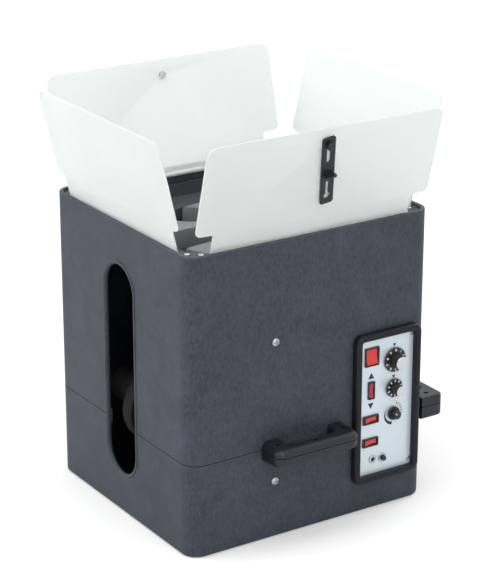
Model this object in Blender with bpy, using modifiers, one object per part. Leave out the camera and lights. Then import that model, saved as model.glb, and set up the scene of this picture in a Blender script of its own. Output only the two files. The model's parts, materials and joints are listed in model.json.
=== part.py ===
"""Padel ball machine: a moulded case, a folding hopper on top, and a tilting two-wheel throwing head inside.

Metres, +Z up. The origin is the middle of the case's base. The ball slot faces -Y and the controls face +X.
"""

import math

import bmesh
import bpy
from mathutils import Matrix, Vector

# Fits

FIT = 0.0003  # between pieces that touch
RUNNING = 0.0004  # round a shaft or a moving piece
PASS = 0.002  # how far a cutter goes past a face
ARC_STEPS = 4  # facets in a quarter turn of an outline
ROUND_STEPS = 16  # facets round a shaft or a bore
ROD_STEPS = 10  # the same of a thin rod
WHEEL_STEPS = 24  # the same of a wheel or the rotor
SMALL_CORNER = 0.002  # corners below this radius take two facets
SHARP = math.radians(30)

# Case

CASE_WIDTH = 0.404
CASE_LENGTH = 0.438
CASE_HEIGHT = 0.480
CASE_CORNER = 0.027
WALL = 0.006
SEAM_HEIGHT = 0.1516
SEAM_CHAMFER = 0.0008
BASE_ROUNDING = 0.006
RIM_ROUNDING = 0.0022
TONGUE = 0.0025
TONGUE_HEIGHT = 0.008
TONGUE_ROOT = 0.015
LEDGE_DEPTH = 0.010
LEDGE_HEIGHT = 0.005

SLOT_WIDTH = 0.080
SLOT_LOW = 0.0696
SLOT_TOP_MARGIN = 0.069
SLOT_LIP = 0.008
SLOT_LIP_PROUD = 0.0015

# Handles

HANDLE_LOW = 0.132
HANDLE_TOP = 0.166
HANDLE_DROP = 0.006
HANDLE_ARM = 0.031
HANDLE_ROUNDING = 0.005
HANDLE_CROWN = 0.0072  # rounding of the top edges
HANDLE_EDGE = 0.001  # least upright face left under the crown
INNER_CORNER_SHARE = 0.7  # of the outer corners' radius, at the finger gap
HANDLE_RISE = 0.005  # the underside rises this far towards the outside
HANDLE_CORNER = 0.015
REAR_CORNER = 0.011
SIDE_HANDLE_START = -0.092
SIDE_HANDLE_LENGTH = 0.152
SIDE_HANDLE_REACH = 0.046
SIDE_GRIP = 0.022
REAR_HANDLE_REACH = 0.034
REAR_GRIP = 0.016
REAR_HANDLE_OVERHANG = 0.002
REAR_WRAP = 0.0085  # how far its ends reach forwards past the case's rear face

# Controls

FRAME_CENTRE_Y = 0.137
FRAME_CENTRE_Z = 0.1763
FRAME_OPENING_WIDTH = 0.103
FRAME_OPENING_HEIGHT = 0.2285
FRAME_RING = 0.0105
FRAME_PROUD = 0.012
FRAME_CORNER = 0.014
FRAME_ROUNDING = 0.003
PANEL_THICKNESS = 0.0015
PANEL_LAP = 0.004
CUTOUT_MARGIN = 0.002
OPENING_CORNER = 0.008

SWITCH_Y = 0.1093
SWITCH_BORDER = 0.0026
SLIM_BORDER = 0.0016  # of the elevation switch
SWITCH_SHELL = 0.0012
SWITCH_CORNER = 0.0015
ROCKER_CREST = 0.0022  # height of the rocker's ends over its pivot
ROCKER_DIP = 0.0008
ROCKER_DEPTH = 0.005
ROCKER_TAPER = 0.0025
ROCKER_SWING_ROOM = 0.003
SWITCH_FLANGE = 0.0022
SWITCH_DEPTH = 0.022
ROCKER_ROOM = 0.0008
ROCKER_TILT = math.radians(7)
POWER_SIZE = (0.027, 0.031)
POWER_Z = 0.2605
ELEVATION_SIZE = (0.0125, 0.0295)
ELEVATION_Z = 0.2044
REMOTE_SIZE = (0.030, 0.0145)
REMOTE_Z = 0.1553
OSCILLATOR_SIZE = (0.030, 0.0145)
OSCILLATOR_Z = 0.1170

KNOB_Y = 0.1525
SPEED_KNOB_Z = 0.247
SPEED_SKIRT = 0.0198
SPEED_CAP = 0.010
FEED_KNOB_Z = 0.1997
FEED_SKIRT = 0.0152
FEED_CAP = 0.0083
SPIN_KNOB_Z = 0.1568
SPIN_KNOB_RADIUS = 0.011
SPIN_KNOB_CAP = 0.0075
KNOB_HEIGHT = 0.0212
SPIN_KNOB_HEIGHT = 0.014
KNOB_CLEARANCE = 0.002
SKIRT_THICKNESS = 0.0025
SHAFT_REACH = 0.006  # behind the panel
EDGE = 0.001  # small chamfer of turned pieces
GRIP_FLARE = 0.0018
KNOB_SHAFT = 0.003
BUSHING = 0.0045
POT_RADIUS = 0.0085
FLUTE_COUNT = 8
FLUTE_RADIUS = 0.0016

SOCKET_Y = 0.1146
SOCKET_RISE = 0.0247  # above the foot of the frame's opening
SOCKET_BORE = 0.0036
SOCKET_RING = 0.0068
SOCKET_DEPTH = 0.010
RESET_Y = 0.1335
RESET_RISE = 0.0235
RESET_RING = 0.0075
RESET_BUTTON = 0.004
RESET_PROUD = 0.006
RESET_TRAVEL = 0.002
BARREL_WALL = 0.0016
BARREL_BACK = 0.003
RING_THICKNESS = 0.0018

BOARD_THICKNESS = 0.0016
BOARD_WIDTH = 0.086
BOARD_HEIGHT = 0.205
BOARD_INSET = 0.006

# Hopper

SHEET = 0.0025
KNUCKLE_RADIUS = 0.0045
KNUCKLE_ROOM = 0.004
KNUCKLE_INSET = 0.001
HINGE_ROD = 0.002
HINGE_BORE = 0.0024
SIDE_HINGE_DEPTH = 0.009
SIDE_HINGE_GAP = 0.0004
END_HINGE_DEPTH = 0.019
END_HINGE_GAP = 0.0021
SIDE_LEAN = math.radians(14.67)
END_LEAN = math.radians(13.6)
SIDE_MEETING_GAP = 0.0098
END_MEETING_GAP = 0.0206
END_PANEL_INSET = 0.0126
NECK_GAP = 0.004
SIDE_FLARE = 0.0405
END_FLARE = 0.0545
FLARE_CORNER = 0.009
FLARE_FILLET = 0.005
FLARE_RISE = 0.0006
TOP_CORNER = 0.016

LINER_GAP = 0.001
LINER_WALL = 0.003
LINER_FLOOR = 0.004
LINER_MOUTH = 0.012
MOUTH_CORNER = 0.060
POST_WIDTH = 0.032
ROD_SEAT = 0.008
LINER_DEPTH = 0.081  # from the rim to the underside of the floor
RECESS_DEPTH = 0.025
WELL_CLEARANCE = 0.005
FUNNEL_SLOPE = math.radians(11.5)

ROTOR_RADIUS = 0.147
ROTOR_Y = 0.022
ROTOR_HEIGHT = 0.028
ROTOR_DOME = 0.014
ROTOR_EDGE = 0.004
ROTOR_POCKETS = 6
POCKET_RADIUS = 0.036
POCKET_PITCH = 0.100
ROTOR_SHAFT = 0.006
FEED_MOTOR_SIZE = (0.056, 0.052, 0.036)
FEED_MOTOR_CAN = 0.022  # how far its can stands out of the gearbox
CAN_INSET = 0.002

CHUTE_BORE = 0.036
CHUTE_WALL = 0.0025
CHUTE_FLANGE = 0.046
CHUTE_BEND_RISE = 0.022  # above the head's pivot
CHUTE_MOUTH_RISE = 0.003
CHUTE_MOUTH_GAP = 0.034  # behind the head's pivot
CHUTE_LIP = 0.012  # the front run is open above this height over its axis
CHUTE_FLANGE_THICKNESS = 0.003
CHUTE_STEPS = 20
CHUTE_SUMP = 0.001

# Latch

LATCH_WIDTH = 0.023
LATCH_THICKNESS = 0.0025
LATCH_HANG = math.radians(7.9)
LATCH_SPACING = 0.0616  # between the two studs when both panels are folded
LATCH_ABOVE = 0.013
LATCH_BELOW = 0.102
LATCH_FOOT_SHARE = 0.5  # of the corner radius, at the strip's foot
LATCH_HOLE_DISTANCE = 0.088
LATCH_HOLE = 0.0052
LATCH_SLOT = 0.0066
LATCH_NARROW = 0.0052
LATCH_NARROW_LENGTH = 0.020
LATCH_TAB_HEIGHT = 0.051
LATCH_TAB_REACH = 0.012
LATCH_STANDOFF = 0.002
LATCH_CORNER = 0.005
TAB_THICKNESS = 0.003
TAB_CORNER = 0.003
STUD_SHAFT = 0.003
STUD_HEAD = 0.0066
STUD_NUT = 0.006
NUT_THICKNESS = 0.003
STUD_HEAD_HEIGHT = 0.0075
KEEPER_HEAD_HEIGHT = 0.003
KEEPER_COLLAR = 0.0012
KEEPER_NECK = 0.0022
KEEPER_HEAD = 0.0042

# Throwing head

PIVOT_DEPTH = 0.119  # behind the front of the case
HEAD_ROOM = 0.010  # from the top of the upper wheel, at its highest, to the liner
REST_ELEVATION = math.radians(20)
WHEEL_RADIUS = 0.060
WHEEL_WIDTH = 0.026
TYRE_DEPTH = 0.010
NIP_GAP = 0.052
NIP_AHEAD = 0.022
AXLE = 0.005
HEAD_INSIDE = 0.042  # half of the space between the head plates
HEAD_PLATE = 0.003
HEAD_PLATE_END = 0.026
PIVOT_EAR = 0.020
PIVOT_PIN = 0.006
MOTOR_RADIUS = 0.026
MOTOR_LENGTH = 0.070
CROSS_TOP = (-0.036, -0.042)
CROSS_BOTTOM = (-0.050, -0.088)
CROSS_EDGE = 0.008  # radius of the plate round the cross member
MOTOR_EDGE = 0.002
MOTOR_BOSS = 0.009
MOTOR_BOSS_LENGTH = 0.005
WHEEL_HUB = 0.014
HUB_PROUD = 0.010
RIM_DISH = 0.006
TYRE_EDGE = 0.0025

GEAR_MODULE = 0.002
SECTOR_TEETH = 60
PINION_TEETH = 18
PRESSURE_ANGLE = math.radians(20)
BACKLASH = 0.0005
GEAR_WIDTH = 0.006
GEAR_HUB = 0.014
HUB_WRAP = math.radians(60)
SECTOR_RIM = 0.72  # its window ends at this share of the pitch radius
SECTOR_WINDOW_FOOT = 1.7  # its window starts at this many hub radii
SECTOR_SPOKE = math.radians(8)
SPOKE_ROOT = math.radians(14)
TOOTH_HEIGHT = 0.95  # above and below the pitch circle, in modules
TOOTH_ROOT = 1.25
SECTOR_BEFORE = 6
SECTOR_AFTER = 5
PINION_DIRECTION = math.radians(210)
ELEVATION_MOTOR = 0.019
ELEVATION_MOTOR_LENGTH = 0.055
ELEVATION_GEARBOX = 0.022

SCREW_BEHIND = 0.0327  # the two screws in the case's side, behind the pivot
SCREW_BELOW = 0.1452
SCREW_ABOVE = 0.0816
UPRIGHT_PLATE = 0.003
UPRIGHT_GAP = 0.011
UPRIGHT_EAR = 0.024
WALL_FLANGE_WIDTH = 0.040
WALL_FLANGE_MARGIN = 0.017
FLANGE_THICKNESS = 0.0025
WEB_THICKNESS = 0.003
WEB_ROOT = 0.014  # half of the web's height at the pivot plate
WEB_RIM = 0.018
WEB_SLOPE_TOP = (0.035, 0.022)  # where its upper edge leaves the wall flange: across and down
PIN_HEAD_THICKNESS = 0.006
PIN_HEAD = 0.010

# Base

BATTERY_SIZE = (0.077, 0.181, 0.167)
BATTERY_TERMINAL = 0.006
TERMINAL_INSET = 0.020
BATTERY_BEHIND = 0.0088  # from the side frames' webs to its front
OSCILLATOR_WHEEL = 0.030
OSCILLATOR_WIDTH = 0.020
OSCILLATOR_Y = 0.176
OSCILLATOR_WINDOW = 0.004
OSCILLATOR_EDGE = 0.004
OSCILLATOR_SHAFT = 0.006
OSCILLATOR_MOTOR = 0.0215
OSCILLATOR_MOTOR_LENGTH = 0.062
OSCILLATOR_FOOT = 0.028

# Worked out from the sizes above

side_x = CASE_WIDTH / 2
front_y = -CASE_LENGTH / 2
rear_y = CASE_LENGTH / 2
inner_x = side_x - WALL
inner_y = rear_y - WALL
floor_z = WALL

side_hinge_x = inner_x - SIDE_HINGE_GAP - KNUCKLE_RADIUS
side_hinge_z = CASE_HEIGHT - SIDE_HINGE_DEPTH
end_hinge_y = inner_y - END_HINGE_GAP - KNUCKLE_RADIUS
end_hinge_z = CASE_HEIGHT - END_HINGE_DEPTH

slot_high = CASE_HEIGHT - SLOT_TOP_MARGIN
liner_base = CASE_HEIGHT - LINER_DEPTH
liner_floor = liner_base + LINER_FLOOR
wheel_up = WHEEL_RADIUS + NIP_GAP / 2
pivot_z = liner_base - HEAD_ROOM - math.hypot(NIP_AHEAD, wheel_up) - WHEEL_RADIUS
pivot = Vector((0, front_y + PIVOT_DEPTH, pivot_z))
liner_x = inner_x - LINER_GAP
liner_y = inner_y - LINER_GAP
flange_low = end_hinge_z - KNUCKLE_RADIUS - KNUCKLE_ROOM
flange_high = flange_low + LINER_WALL
post_x = liner_x - POST_WIDTH
post_y = liner_y - POST_WIDTH
post_high = side_hinge_z + KNUCKLE_RADIUS
drop_y = ROTOR_Y + POCKET_PITCH

screw_y = pivot.y + SCREW_BEHIND
screw_low, screw_high = pivot.z - SCREW_BELOW, pivot.z + SCREW_ABOVE
panel_foot = FRAME_CENTRE_Z - FRAME_OPENING_HEIGHT / 2
socket_z, reset_z = panel_foot + SOCKET_RISE, panel_foot + RESET_RISE
panel_back = side_x + FIT
panel_front = panel_back + PANEL_THICKNESS

X, Y, Z = Vector((1, 0, 0)), Vector((0, 1, 0)), Vector((0, 0, 1))


# Materials


def material(name, colour, roughness, metallic=0.0, alpha=1.0):
    made = bpy.data.materials.new(name)
    made.use_nodes = True
    shader = made.node_tree.nodes["Principled BSDF"]
    shader.inputs["Base Color"].default_value = (*colour, 1)
    shader.inputs["Roughness"].default_value = roughness
    shader.inputs["Metallic"].default_value = metallic
    shader.inputs["Alpha"].default_value = alpha
    made.diffuse_color = (*colour, alpha)
    return made


# Making pieces


def piece(name, mesh, finish=None):
    """A named part with its material, or a hidden cutter if it has none."""
    made = bpy.data.objects.new(name, mesh)
    if finish:
        mesh.materials.clear()
        mesh.materials.append(finish)
        parts.objects.link(made)
    else:
        made.hide_render = True
        made.display_type = "WIRE"
        cutters.objects.link(made)
    return made


def plane(origin, across, up):
    """The matrix that lays a flat outline's X along across and its Y along up."""
    across, up = Vector(across), Vector(up)
    turn = Matrix((across, up, across.cross(up))).transposed().to_4x4()
    return Matrix.Translation(origin) @ turn


def shade(mesh, angle=40):
    mesh.shade_smooth()
    mesh.set_sharp_from_angle(angle=math.radians(angle))


def as_mesh(source, place):
    """Turns a curve or an object with modifiers into a closed mesh at its place."""
    bpy.context.view_layer.update()
    graph = bpy.context.evaluated_depsgraph_get()
    mesh = bpy.data.meshes.new_from_object(source.evaluated_get(graph))
    bpy.data.objects.remove(source)
    tidy = bmesh.new()
    tidy.from_mesh(mesh)
    bmesh.ops.remove_doubles(tidy, verts=tidy.verts, dist=1e-6)
    bmesh.ops.dissolve_limit(tidy, angle_limit=1e-3, verts=tidy.verts, edges=tidy.edges)
    bmesh.ops.recalc_face_normals(tidy, faces=tidy.faces)
    tidy.transform(place)
    tidy.to_mesh(mesh)
    tidy.free()
    shade(mesh)
    return mesh


def plate(name, outlines, thickness, place, finish=None):
    """A flat outline, with the later outlines as holes, thickened evenly about its plane."""
    curve = bpy.data.curves.new(name, "CURVE")
    curve.dimensions = "2D"
    curve.fill_mode = "BOTH"
    curve.extrude = thickness / 2
    for outline in outlines:
        spline = curve.splines.new("POLY")
        spline.points.add(len(outline) - 1)
        for point, (x, y) in zip(spline.points, outline):
            point.co = (x, y, 0, 1)
        spline.use_cyclic_u = True
    source = bpy.data.objects.new(name, curve)
    bpy.context.scene.collection.objects.link(source)
    return piece(name, as_mesh(source, place), finish)


def prism(name, outline, low, high, finish=None):
    """An upright block of a plan outline, from one height to another."""
    place = Matrix.Translation((0, 0, (low + high) / 2))
    return plate(name, [outline], high - low, place, finish)


def box(name, low, high, finish=None):
    shape = bmesh.new()
    bmesh.ops.create_cube(shape, size=1)
    size = [b - a for a, b in zip(low, high)]
    centre = [(a + b) / 2 for a, b in zip(low, high)]
    shape.transform(Matrix.Translation(centre) @ Matrix.Diagonal((*size, 1)))
    mesh = bpy.data.meshes.new(name)
    shape.to_mesh(mesh)
    shape.free()
    return piece(name, mesh, finish)


def rod(name, start, end, radius, finish=None, steps=ROUND_STEPS):
    start, end = Vector(start), Vector(end)
    axis = end - start
    shape = bmesh.new()
    bmesh.ops.create_cone(
        shape, cap_ends=True, segments=steps, radius1=radius, radius2=radius, depth=axis.length
    )
    turn = Z.rotation_difference(axis).to_matrix().to_4x4()
    shape.transform(Matrix.Translation((start + end) / 2) @ turn)
    mesh = bpy.data.meshes.new(name)
    shape.to_mesh(mesh)
    shape.free()
    shade(mesh)
    return piece(name, mesh, finish)


def turned(name, profile, origin, axis, finish=None, steps=ROUND_STEPS):
    """A profile of (radius, height) points, listed down its outer side, turned about an axis."""
    mesh = bpy.data.meshes.new(name)
    points = [(radius, 0, height) for radius, height in profile]
    mesh.from_pydata(points, [(i, i + 1) for i in range(len(points) - 1)], [])
    source = bpy.data.objects.new(name, mesh)
    bpy.context.scene.collection.objects.link(source)
    screw = source.modifiers.new("turn", "SCREW")
    screw.steps = screw.render_steps = steps
    screw.use_merge_vertices = True
    screw.merge_threshold = 0.00001
    turn = Z.rotation_difference(Vector(axis)).to_matrix().to_4x4()
    return piece(name, as_mesh(source, Matrix.Translation(origin) @ turn), finish)


def combine(target, operation, *tools):
    for tool in tools:
        change = target.modifiers.new(tool.name, "BOOLEAN")
        change.operation = operation
        change.solver = "EXACT"
        change.object = tool
    return target


def cut(target, *tools):
    return combine(target, "DIFFERENCE", *tools)


def join(target, *tools):
    return combine(target, "UNION", *tools)


def keep_common(target, *tools):
    return combine(target, "INTERSECT", *tools)


def ends(edge):
    return [vertex.co for vertex in edge.verts]


def round_edges(target, width, chosen, segments=2, kept=None):
    """Rounds the sharp edges whose two ends both pass the test, apart from those that are kept."""
    shape = bmesh.new()
    shape.from_mesh(target.data)
    edges = [edge for edge in shape.edges if edge.calc_face_angle() > SHARP]
    edges = [edge for edge in edges if all(map(chosen, ends(edge)))]
    if kept:
        edges = [edge for edge in edges if not all(map(kept, ends(edge)))]
    bmesh.ops.bevel(
        shape, geom=edges, offset=width, segments=segments, profile=0.5, affect="EDGES", material=-1
    )
    bmesh.ops.recalc_face_normals(shape, faces=shape.faces)
    shape.to_mesh(target.data)
    shape.free()
    shade(target.data)
    return target


def hang_on(target, point):
    """Puts a moving piece's origin on its joint's axis, without moving the piece."""
    target.data.transform(Matrix.Translation(-Vector(point)))
    target.location = point
    return target


def near(value, other):
    return abs(value - other) < 1e-5


# Outlines


def arc(centre, radius, start, end, steps=ARC_STEPS):
    """Points on an arc, from one angle in degrees to another."""
    angles = [math.radians(start + (end - start) * i / steps) for i in range(steps + 1)]
    return [(centre[0] + radius * math.cos(a), centre[1] + radius * math.sin(a)) for a in angles]


def span(centre, radius, start, end, steps):
    """The same, with the angles in radians."""
    return arc(centre, radius, math.degrees(start), math.degrees(end), steps)


def circle(radius, centre=(0, 0), steps=ROUND_STEPS):
    return arc(centre, radius, 0, 360, steps)[:-1]


def rounded_rectangle(width, height, corner, centre=(0, 0)):
    points = []
    steps = 2 if corner < SMALL_CORNER else ARC_STEPS
    for quarter, (a, b) in enumerate(((1, 1), (-1, 1), (-1, -1), (1, -1))):
        middle = (centre[0] + a * (width / 2 - corner), centre[1] + b * (height / 2 - corner))
        points += arc(middle, corner, 90 * quarter, 90 * quarter + 90, steps)
    return points


def upright_slot(width, low, high, x=0.0):
    radius = width / 2
    return arc((x, high - radius), radius, 0, 180, 2 * ARC_STEPS) + arc(
        (x, low + radius), radius, 180, 360, 2 * ARC_STEPS
    )


def case_plan(inset):
    """The case's plan outline, drawn in from its outside."""
    corner = max(CASE_CORNER - inset, EDGE)
    return rounded_rectangle(CASE_WIDTH - 2 * inset, CASE_LENGTH - 2 * inset, corner)


def mirrored(points):
    """An outline's right half, then its left half, as one closed outline."""
    return points + [(-x, y) for x, y in reversed(points)]


def bowed_corner(points, radius, steps=4):
    """Rounds each corner of an outline given as (x, y, share of the radius)."""
    rounded = []
    for i, (x, y, share) in enumerate(points):
        if not share:
            rounded.append((x, y))
            continue
        here = Vector((x, y))
        before = (Vector(points[i - 1][:2]) - here).normalized()
        after = (Vector(points[(i + 1) % len(points)][:2]) - here).normalized()
        half = before.angle(after) / 2
        reach = radius * share / math.tan(half)
        centre = here + (before + after).normalized() * (radius * share / math.sin(half))
        start, end = here + before * reach - centre, here + after * reach - centre
        sweep = math.atan2(start.cross(end), start.dot(end))
        for k in range(steps + 1):
            rounded.append(tuple(centre + Matrix.Rotation(sweep * k / steps, 2) @ start))
    return rounded


# Case


def slot_lip(name, upper):
    """The raised rim round one housing's share of the slot."""
    outer, inner = SLOT_WIDTH / 2 + SLOT_LIP, SLOT_WIDTH / 2 - PASS
    steps = 2 * ARC_STEPS
    if upper:
        middle, seam = slot_high - SLOT_WIDTH / 2, SEAM_HEIGHT + FIT / 2
        outline = [(outer, seam)] + arc((0, middle), outer, 0, 180, steps) + [(-outer, seam)]
        outline += [(-inner, seam)] + arc((0, middle), inner, 180, 0, steps) + [(inner, seam)]
    else:
        middle, seam = SLOT_LOW + SLOT_WIDTH / 2, SEAM_HEIGHT - FIT / 2
        outline = [(-outer, seam)] + arc((0, middle), outer, 180, 360, steps) + [(outer, seam)]
        outline += [(inner, seam)] + arc((0, middle), inner, 360, 180, steps) + [(-inner, seam)]
    thickness = SLOT_LIP_PROUD + WALL / 2
    place = plane((0, front_y - SLOT_LIP_PROUD + thickness / 2, 0), X, Z)
    return plate(name, [outline], thickness, place)


def make_case(plastic):
    seam_low, seam_high = SEAM_HEIGHT - FIT / 2, SEAM_HEIGHT + FIT / 2
    tongue_root = SEAM_HEIGHT - TONGUE_ROOT
    slot_outline = upright_slot(SLOT_WIDTH, SLOT_LOW, slot_high)
    slot_cutter = plate("slot_cutter", [slot_outline], 4 * WALL, plane((0, front_y, 0), X, Z))
    frame_cutter = box(
        "control_cutter",
        (side_x - 2 * WALL, FRAME_CENTRE_Y - cutout_width / 2, FRAME_CENTRE_Z - cutout_height / 2),
        (side_x + WALL, FRAME_CENTRE_Y + cutout_width / 2, FRAME_CENTRE_Z + cutout_height / 2),
    )

    # The lower housing is a tub with a tongue that stands inside the upper housing's wall
    lower = prism("lower_housing", case_plan(0), 0, seam_low, plastic)
    round_edges(lower, BASE_ROUNDING, lambda co: near(co.z, 0))
    round_edges(lower, SEAM_CHAMFER, lambda co: near(co.z, seam_low), 1)
    tongue = prism("tongue", case_plan(WALL + FIT), tongue_root, seam_low + TONGUE_HEIGHT)
    hollow = prism("lower_hollow", case_plan(WALL), floor_z, tongue_root + PASS / 2)
    throat = prism(
        "lower_throat", case_plan(WALL + FIT + TONGUE), tongue_root, seam_low + TONGUE_HEIGHT + PASS
    )
    window = box(
        "oscillator_window",
        (-oscillator_chord, oscillator_front - OSCILLATOR_WINDOW, -PASS),
        (oscillator_chord, oscillator_front + OSCILLATOR_WIDTH + OSCILLATOR_WINDOW, floor_z + PASS),
    )
    # The side frames stand against the wall, so the tongue is notched for them
    notch_half = WALL_FLANGE_WIDTH / 2 + PASS
    notches = [
        box(
            f"frame_notch_{i}",
            (min(a, b), screw_y - notch_half, tongue_root - PASS),
            (max(a, b), screw_y + notch_half, SEAM_HEIGHT + TONGUE_HEIGHT + PASS),
        )
        for i, (a, b) in enumerate(((inner_x - WALL, inner_x + FIT), (-inner_x - FIT, WALL - inner_x)))
    ]
    join(lower, tongue, slot_lip("slot_lip_lower", False))
    cut(lower, hollow, throat, slot_cutter, frame_cutter, window, *notches)

    # The upper housing is an open ring with a ledge inside its rim for the hopper liner
    upper = prism("upper_housing", case_plan(0), seam_high, CASE_HEIGHT, plastic)
    round_edges(upper, RIM_ROUNDING, lambda co: near(co.z, CASE_HEIGHT))
    round_edges(upper, SEAM_CHAMFER, lambda co: near(co.z, seam_high), 1)
    ledge_high = flange_low - FIT
    ledge_low = ledge_high - LEDGE_HEIGHT
    above = prism("upper_hollow_top", case_plan(WALL), ledge_high, CASE_HEIGHT + PASS)
    through = prism("upper_hollow_ledge", case_plan(WALL + LEDGE_DEPTH), ledge_low - PASS, ledge_high + PASS)
    below = prism("upper_hollow", case_plan(WALL), seam_high - PASS, ledge_low)
    join(upper, slot_lip("slot_lip_upper", True))
    cut(upper, above, through, below, slot_cutter, frame_cutter)


# Handles


def handle_halves(name, outline, outward, root, reach, plastic):
    """The two mouldings meet at the height of the case's seam. Top and underside close in outwards."""
    lower = prism(f"{name}_lower", outline, HANDLE_LOW, SEAM_HEIGHT - FIT / 2, plastic)
    upper = prism(f"{name}_upper", outline, SEAM_HEIGHT + FIT / 2, HANDLE_TOP, plastic)
    foot = min(Vector((*point, 0)).dot(outward) for point in outline)
    for half, level, shift in ((lower, HANDLE_LOW, HANDLE_RISE), (upper, HANDLE_TOP, -HANDLE_DROP)):
        for vertex in half.data.vertices:
            if near(vertex.co.z, level):
                vertex.co.z += shift * (vertex.co.dot(outward) - root) / reach

    # The edges that lie on the case stay sharp
    def at_case(co):
        return near(co.dot(outward), foot)

    outer_height = HANDLE_TOP - HANDLE_DROP - SEAM_HEIGHT - FIT / 2
    crown = min(HANDLE_CROWN, outer_height - HANDLE_EDGE)
    round_edges(lower, HANDLE_ROUNDING, lambda co: co.z < SEAM_HEIGHT - FIT, kept=at_case)
    round_edges(upper, crown, lambda co: co.z > SEAM_HEIGHT + FIT, 3, at_case)
    return lower, upper


def side_handle_outline():
    root = side_x + FIT
    reach = side_x + SIDE_HANDLE_REACH
    start, end = SIDE_HANDLE_START, SIDE_HANDLE_START + SIDE_HANDLE_LENGTH
    corners = [
        (root, start, 0),
        (reach, start, 1),
        (reach, end, 1),
        (root, end, 0),
        (root, end - HANDLE_ARM, 0),
        (reach - SIDE_GRIP, end - HANDLE_ARM, INNER_CORNER_SHARE),
        (reach - SIDE_GRIP, start + HANDLE_ARM, INNER_CORNER_SHARE),
        (root, start + HANDLE_ARM, 0),
    ]
    return bowed_corner(corners, HANDLE_CORNER)


def rear_handle_outline():
    """The right half of the grip and its arm, which the left half mirrors. The case is cut out later."""
    foot, reach = rear_y - REAR_WRAP, rear_y + REAR_HANDLE_REACH
    end = side_x + REAR_HANDLE_OVERHANG
    arm = end - HANDLE_ARM - REAR_HANDLE_OVERHANG
    gap = reach - REAR_GRIP
    finger = bowed_corner([(0, gap, 0), (arm, gap, 1), (arm, foot, 0)], REAR_CORNER)
    tip = bowed_corner([(end, foot, 0), (end, reach, 1), (0, reach, 0)], REAR_CORNER)
    return mirrored(finger + tip)


def make_handles(plastic):
    handle_halves("side_handle", side_handle_outline(), X, side_x, SIDE_HANDLE_REACH, plastic)
    rear = handle_halves("rear_handle", rear_handle_outline(), Y, rear_y, REAR_HANDLE_REACH, plastic)
    for half in rear:
        cut(half, prism(f"{half.name}_wrap", case_plan(-FIT), 0, CASE_HEIGHT))


# Controls


def facing_side(x, y=0.0, z=0.0):
    """The plane of the control side, seen from outside."""
    return plane((x, y, z), Y, Z)


def control_opening(margin):
    width, height = FRAME_OPENING_WIDTH + 2 * margin, FRAME_OPENING_HEIGHT + 2 * margin
    return rounded_rectangle(width, height, OPENING_CORNER + margin / 2)


def make_control_frame(plastic):
    middle = (FRAME_CENTRE_Y, FRAME_CENTRE_Z)
    depth = FRAME_PROUD - FIT
    width, height = FRAME_OPENING_WIDTH + 2 * FRAME_RING, FRAME_OPENING_HEIGHT + 2 * FRAME_RING
    outline = rounded_rectangle(width, height, FRAME_CORNER)
    level = facing_side(side_x + FIT + depth / 2, *middle)
    frame = plate("control_frame", [outline], depth, level, plastic)
    round_edges(frame, FRAME_ROUNDING, lambda co: near(co.x, side_x + FRAME_PROUD))
    opening = plate("frame_opening", [control_opening(0)], 4 * FRAME_PROUD, facing_side(side_x, *middle))
    rebate = plate(
        "frame_rebate",
        [control_opening(PANEL_LAP + FIT)],
        2 * (PANEL_THICKNESS + 2 * FIT),
        facing_side(side_x, *middle),
    )
    return cut(frame, opening, rebate)


def switches():
    """Each switch: name, size, height, border, whether it rocks up and down, and its resting side."""
    return (
        ("power", POWER_SIZE, POWER_Z, SWITCH_BORDER, True, -1),
        ("elevation", ELEVATION_SIZE, ELEVATION_Z, SLIM_BORDER, True, 0),
        ("remote", REMOTE_SIZE, REMOTE_Z, SWITCH_BORDER, False, -1),
        ("oscillator", OSCILLATOR_SIZE, OSCILLATOR_Z, SWITCH_BORDER, False, -1),
    )


def knobs():
    """Each knob: its name, height, radius of its skirt, radius of its cap, and how far it stands out."""
    return (
        ("speed", SPEED_KNOB_Z, SPEED_SKIRT, SPEED_CAP, KNOB_HEIGHT),
        ("feed", FEED_KNOB_Z, FEED_SKIRT, FEED_CAP, KNOB_HEIGHT),
        ("spin", SPIN_KNOB_Z, SPIN_KNOB_RADIUS, SPIN_KNOB_CAP, SPIN_KNOB_HEIGHT),
    )


def make_control_panel(metal):
    holes = []
    for _, size, z, border, _, _ in switches():
        width, height = (value - 2 * (border - SWITCH_SHELL) + 2 * FIT for value in size)
        centre = (SWITCH_Y - FRAME_CENTRE_Y, z - FRAME_CENTRE_Z)
        holes.append(rounded_rectangle(width, height, FIT, centre))
    for _, z, _, _, _ in knobs():
        holes.append(circle(BUSHING + FIT, (KNOB_Y - FRAME_CENTRE_Y, z - FRAME_CENTRE_Z)))
    for y, z, bore in ((SOCKET_Y, socket_z, SOCKET_BORE), (RESET_Y, reset_z, RESET_BUTTON)):
        holes.append(circle(bore + BARREL_WALL + 2 * FIT, (y - FRAME_CENTRE_Y, z - FRAME_CENTRE_Z)))
    middle = (panel_back + PANEL_THICKNESS / 2, FRAME_CENTRE_Y, FRAME_CENTRE_Z)
    outline = control_opening(PANEL_LAP)
    plate("control_panel", [outline] + holes, PANEL_THICKNESS, facing_side(*middle), metal)


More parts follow.
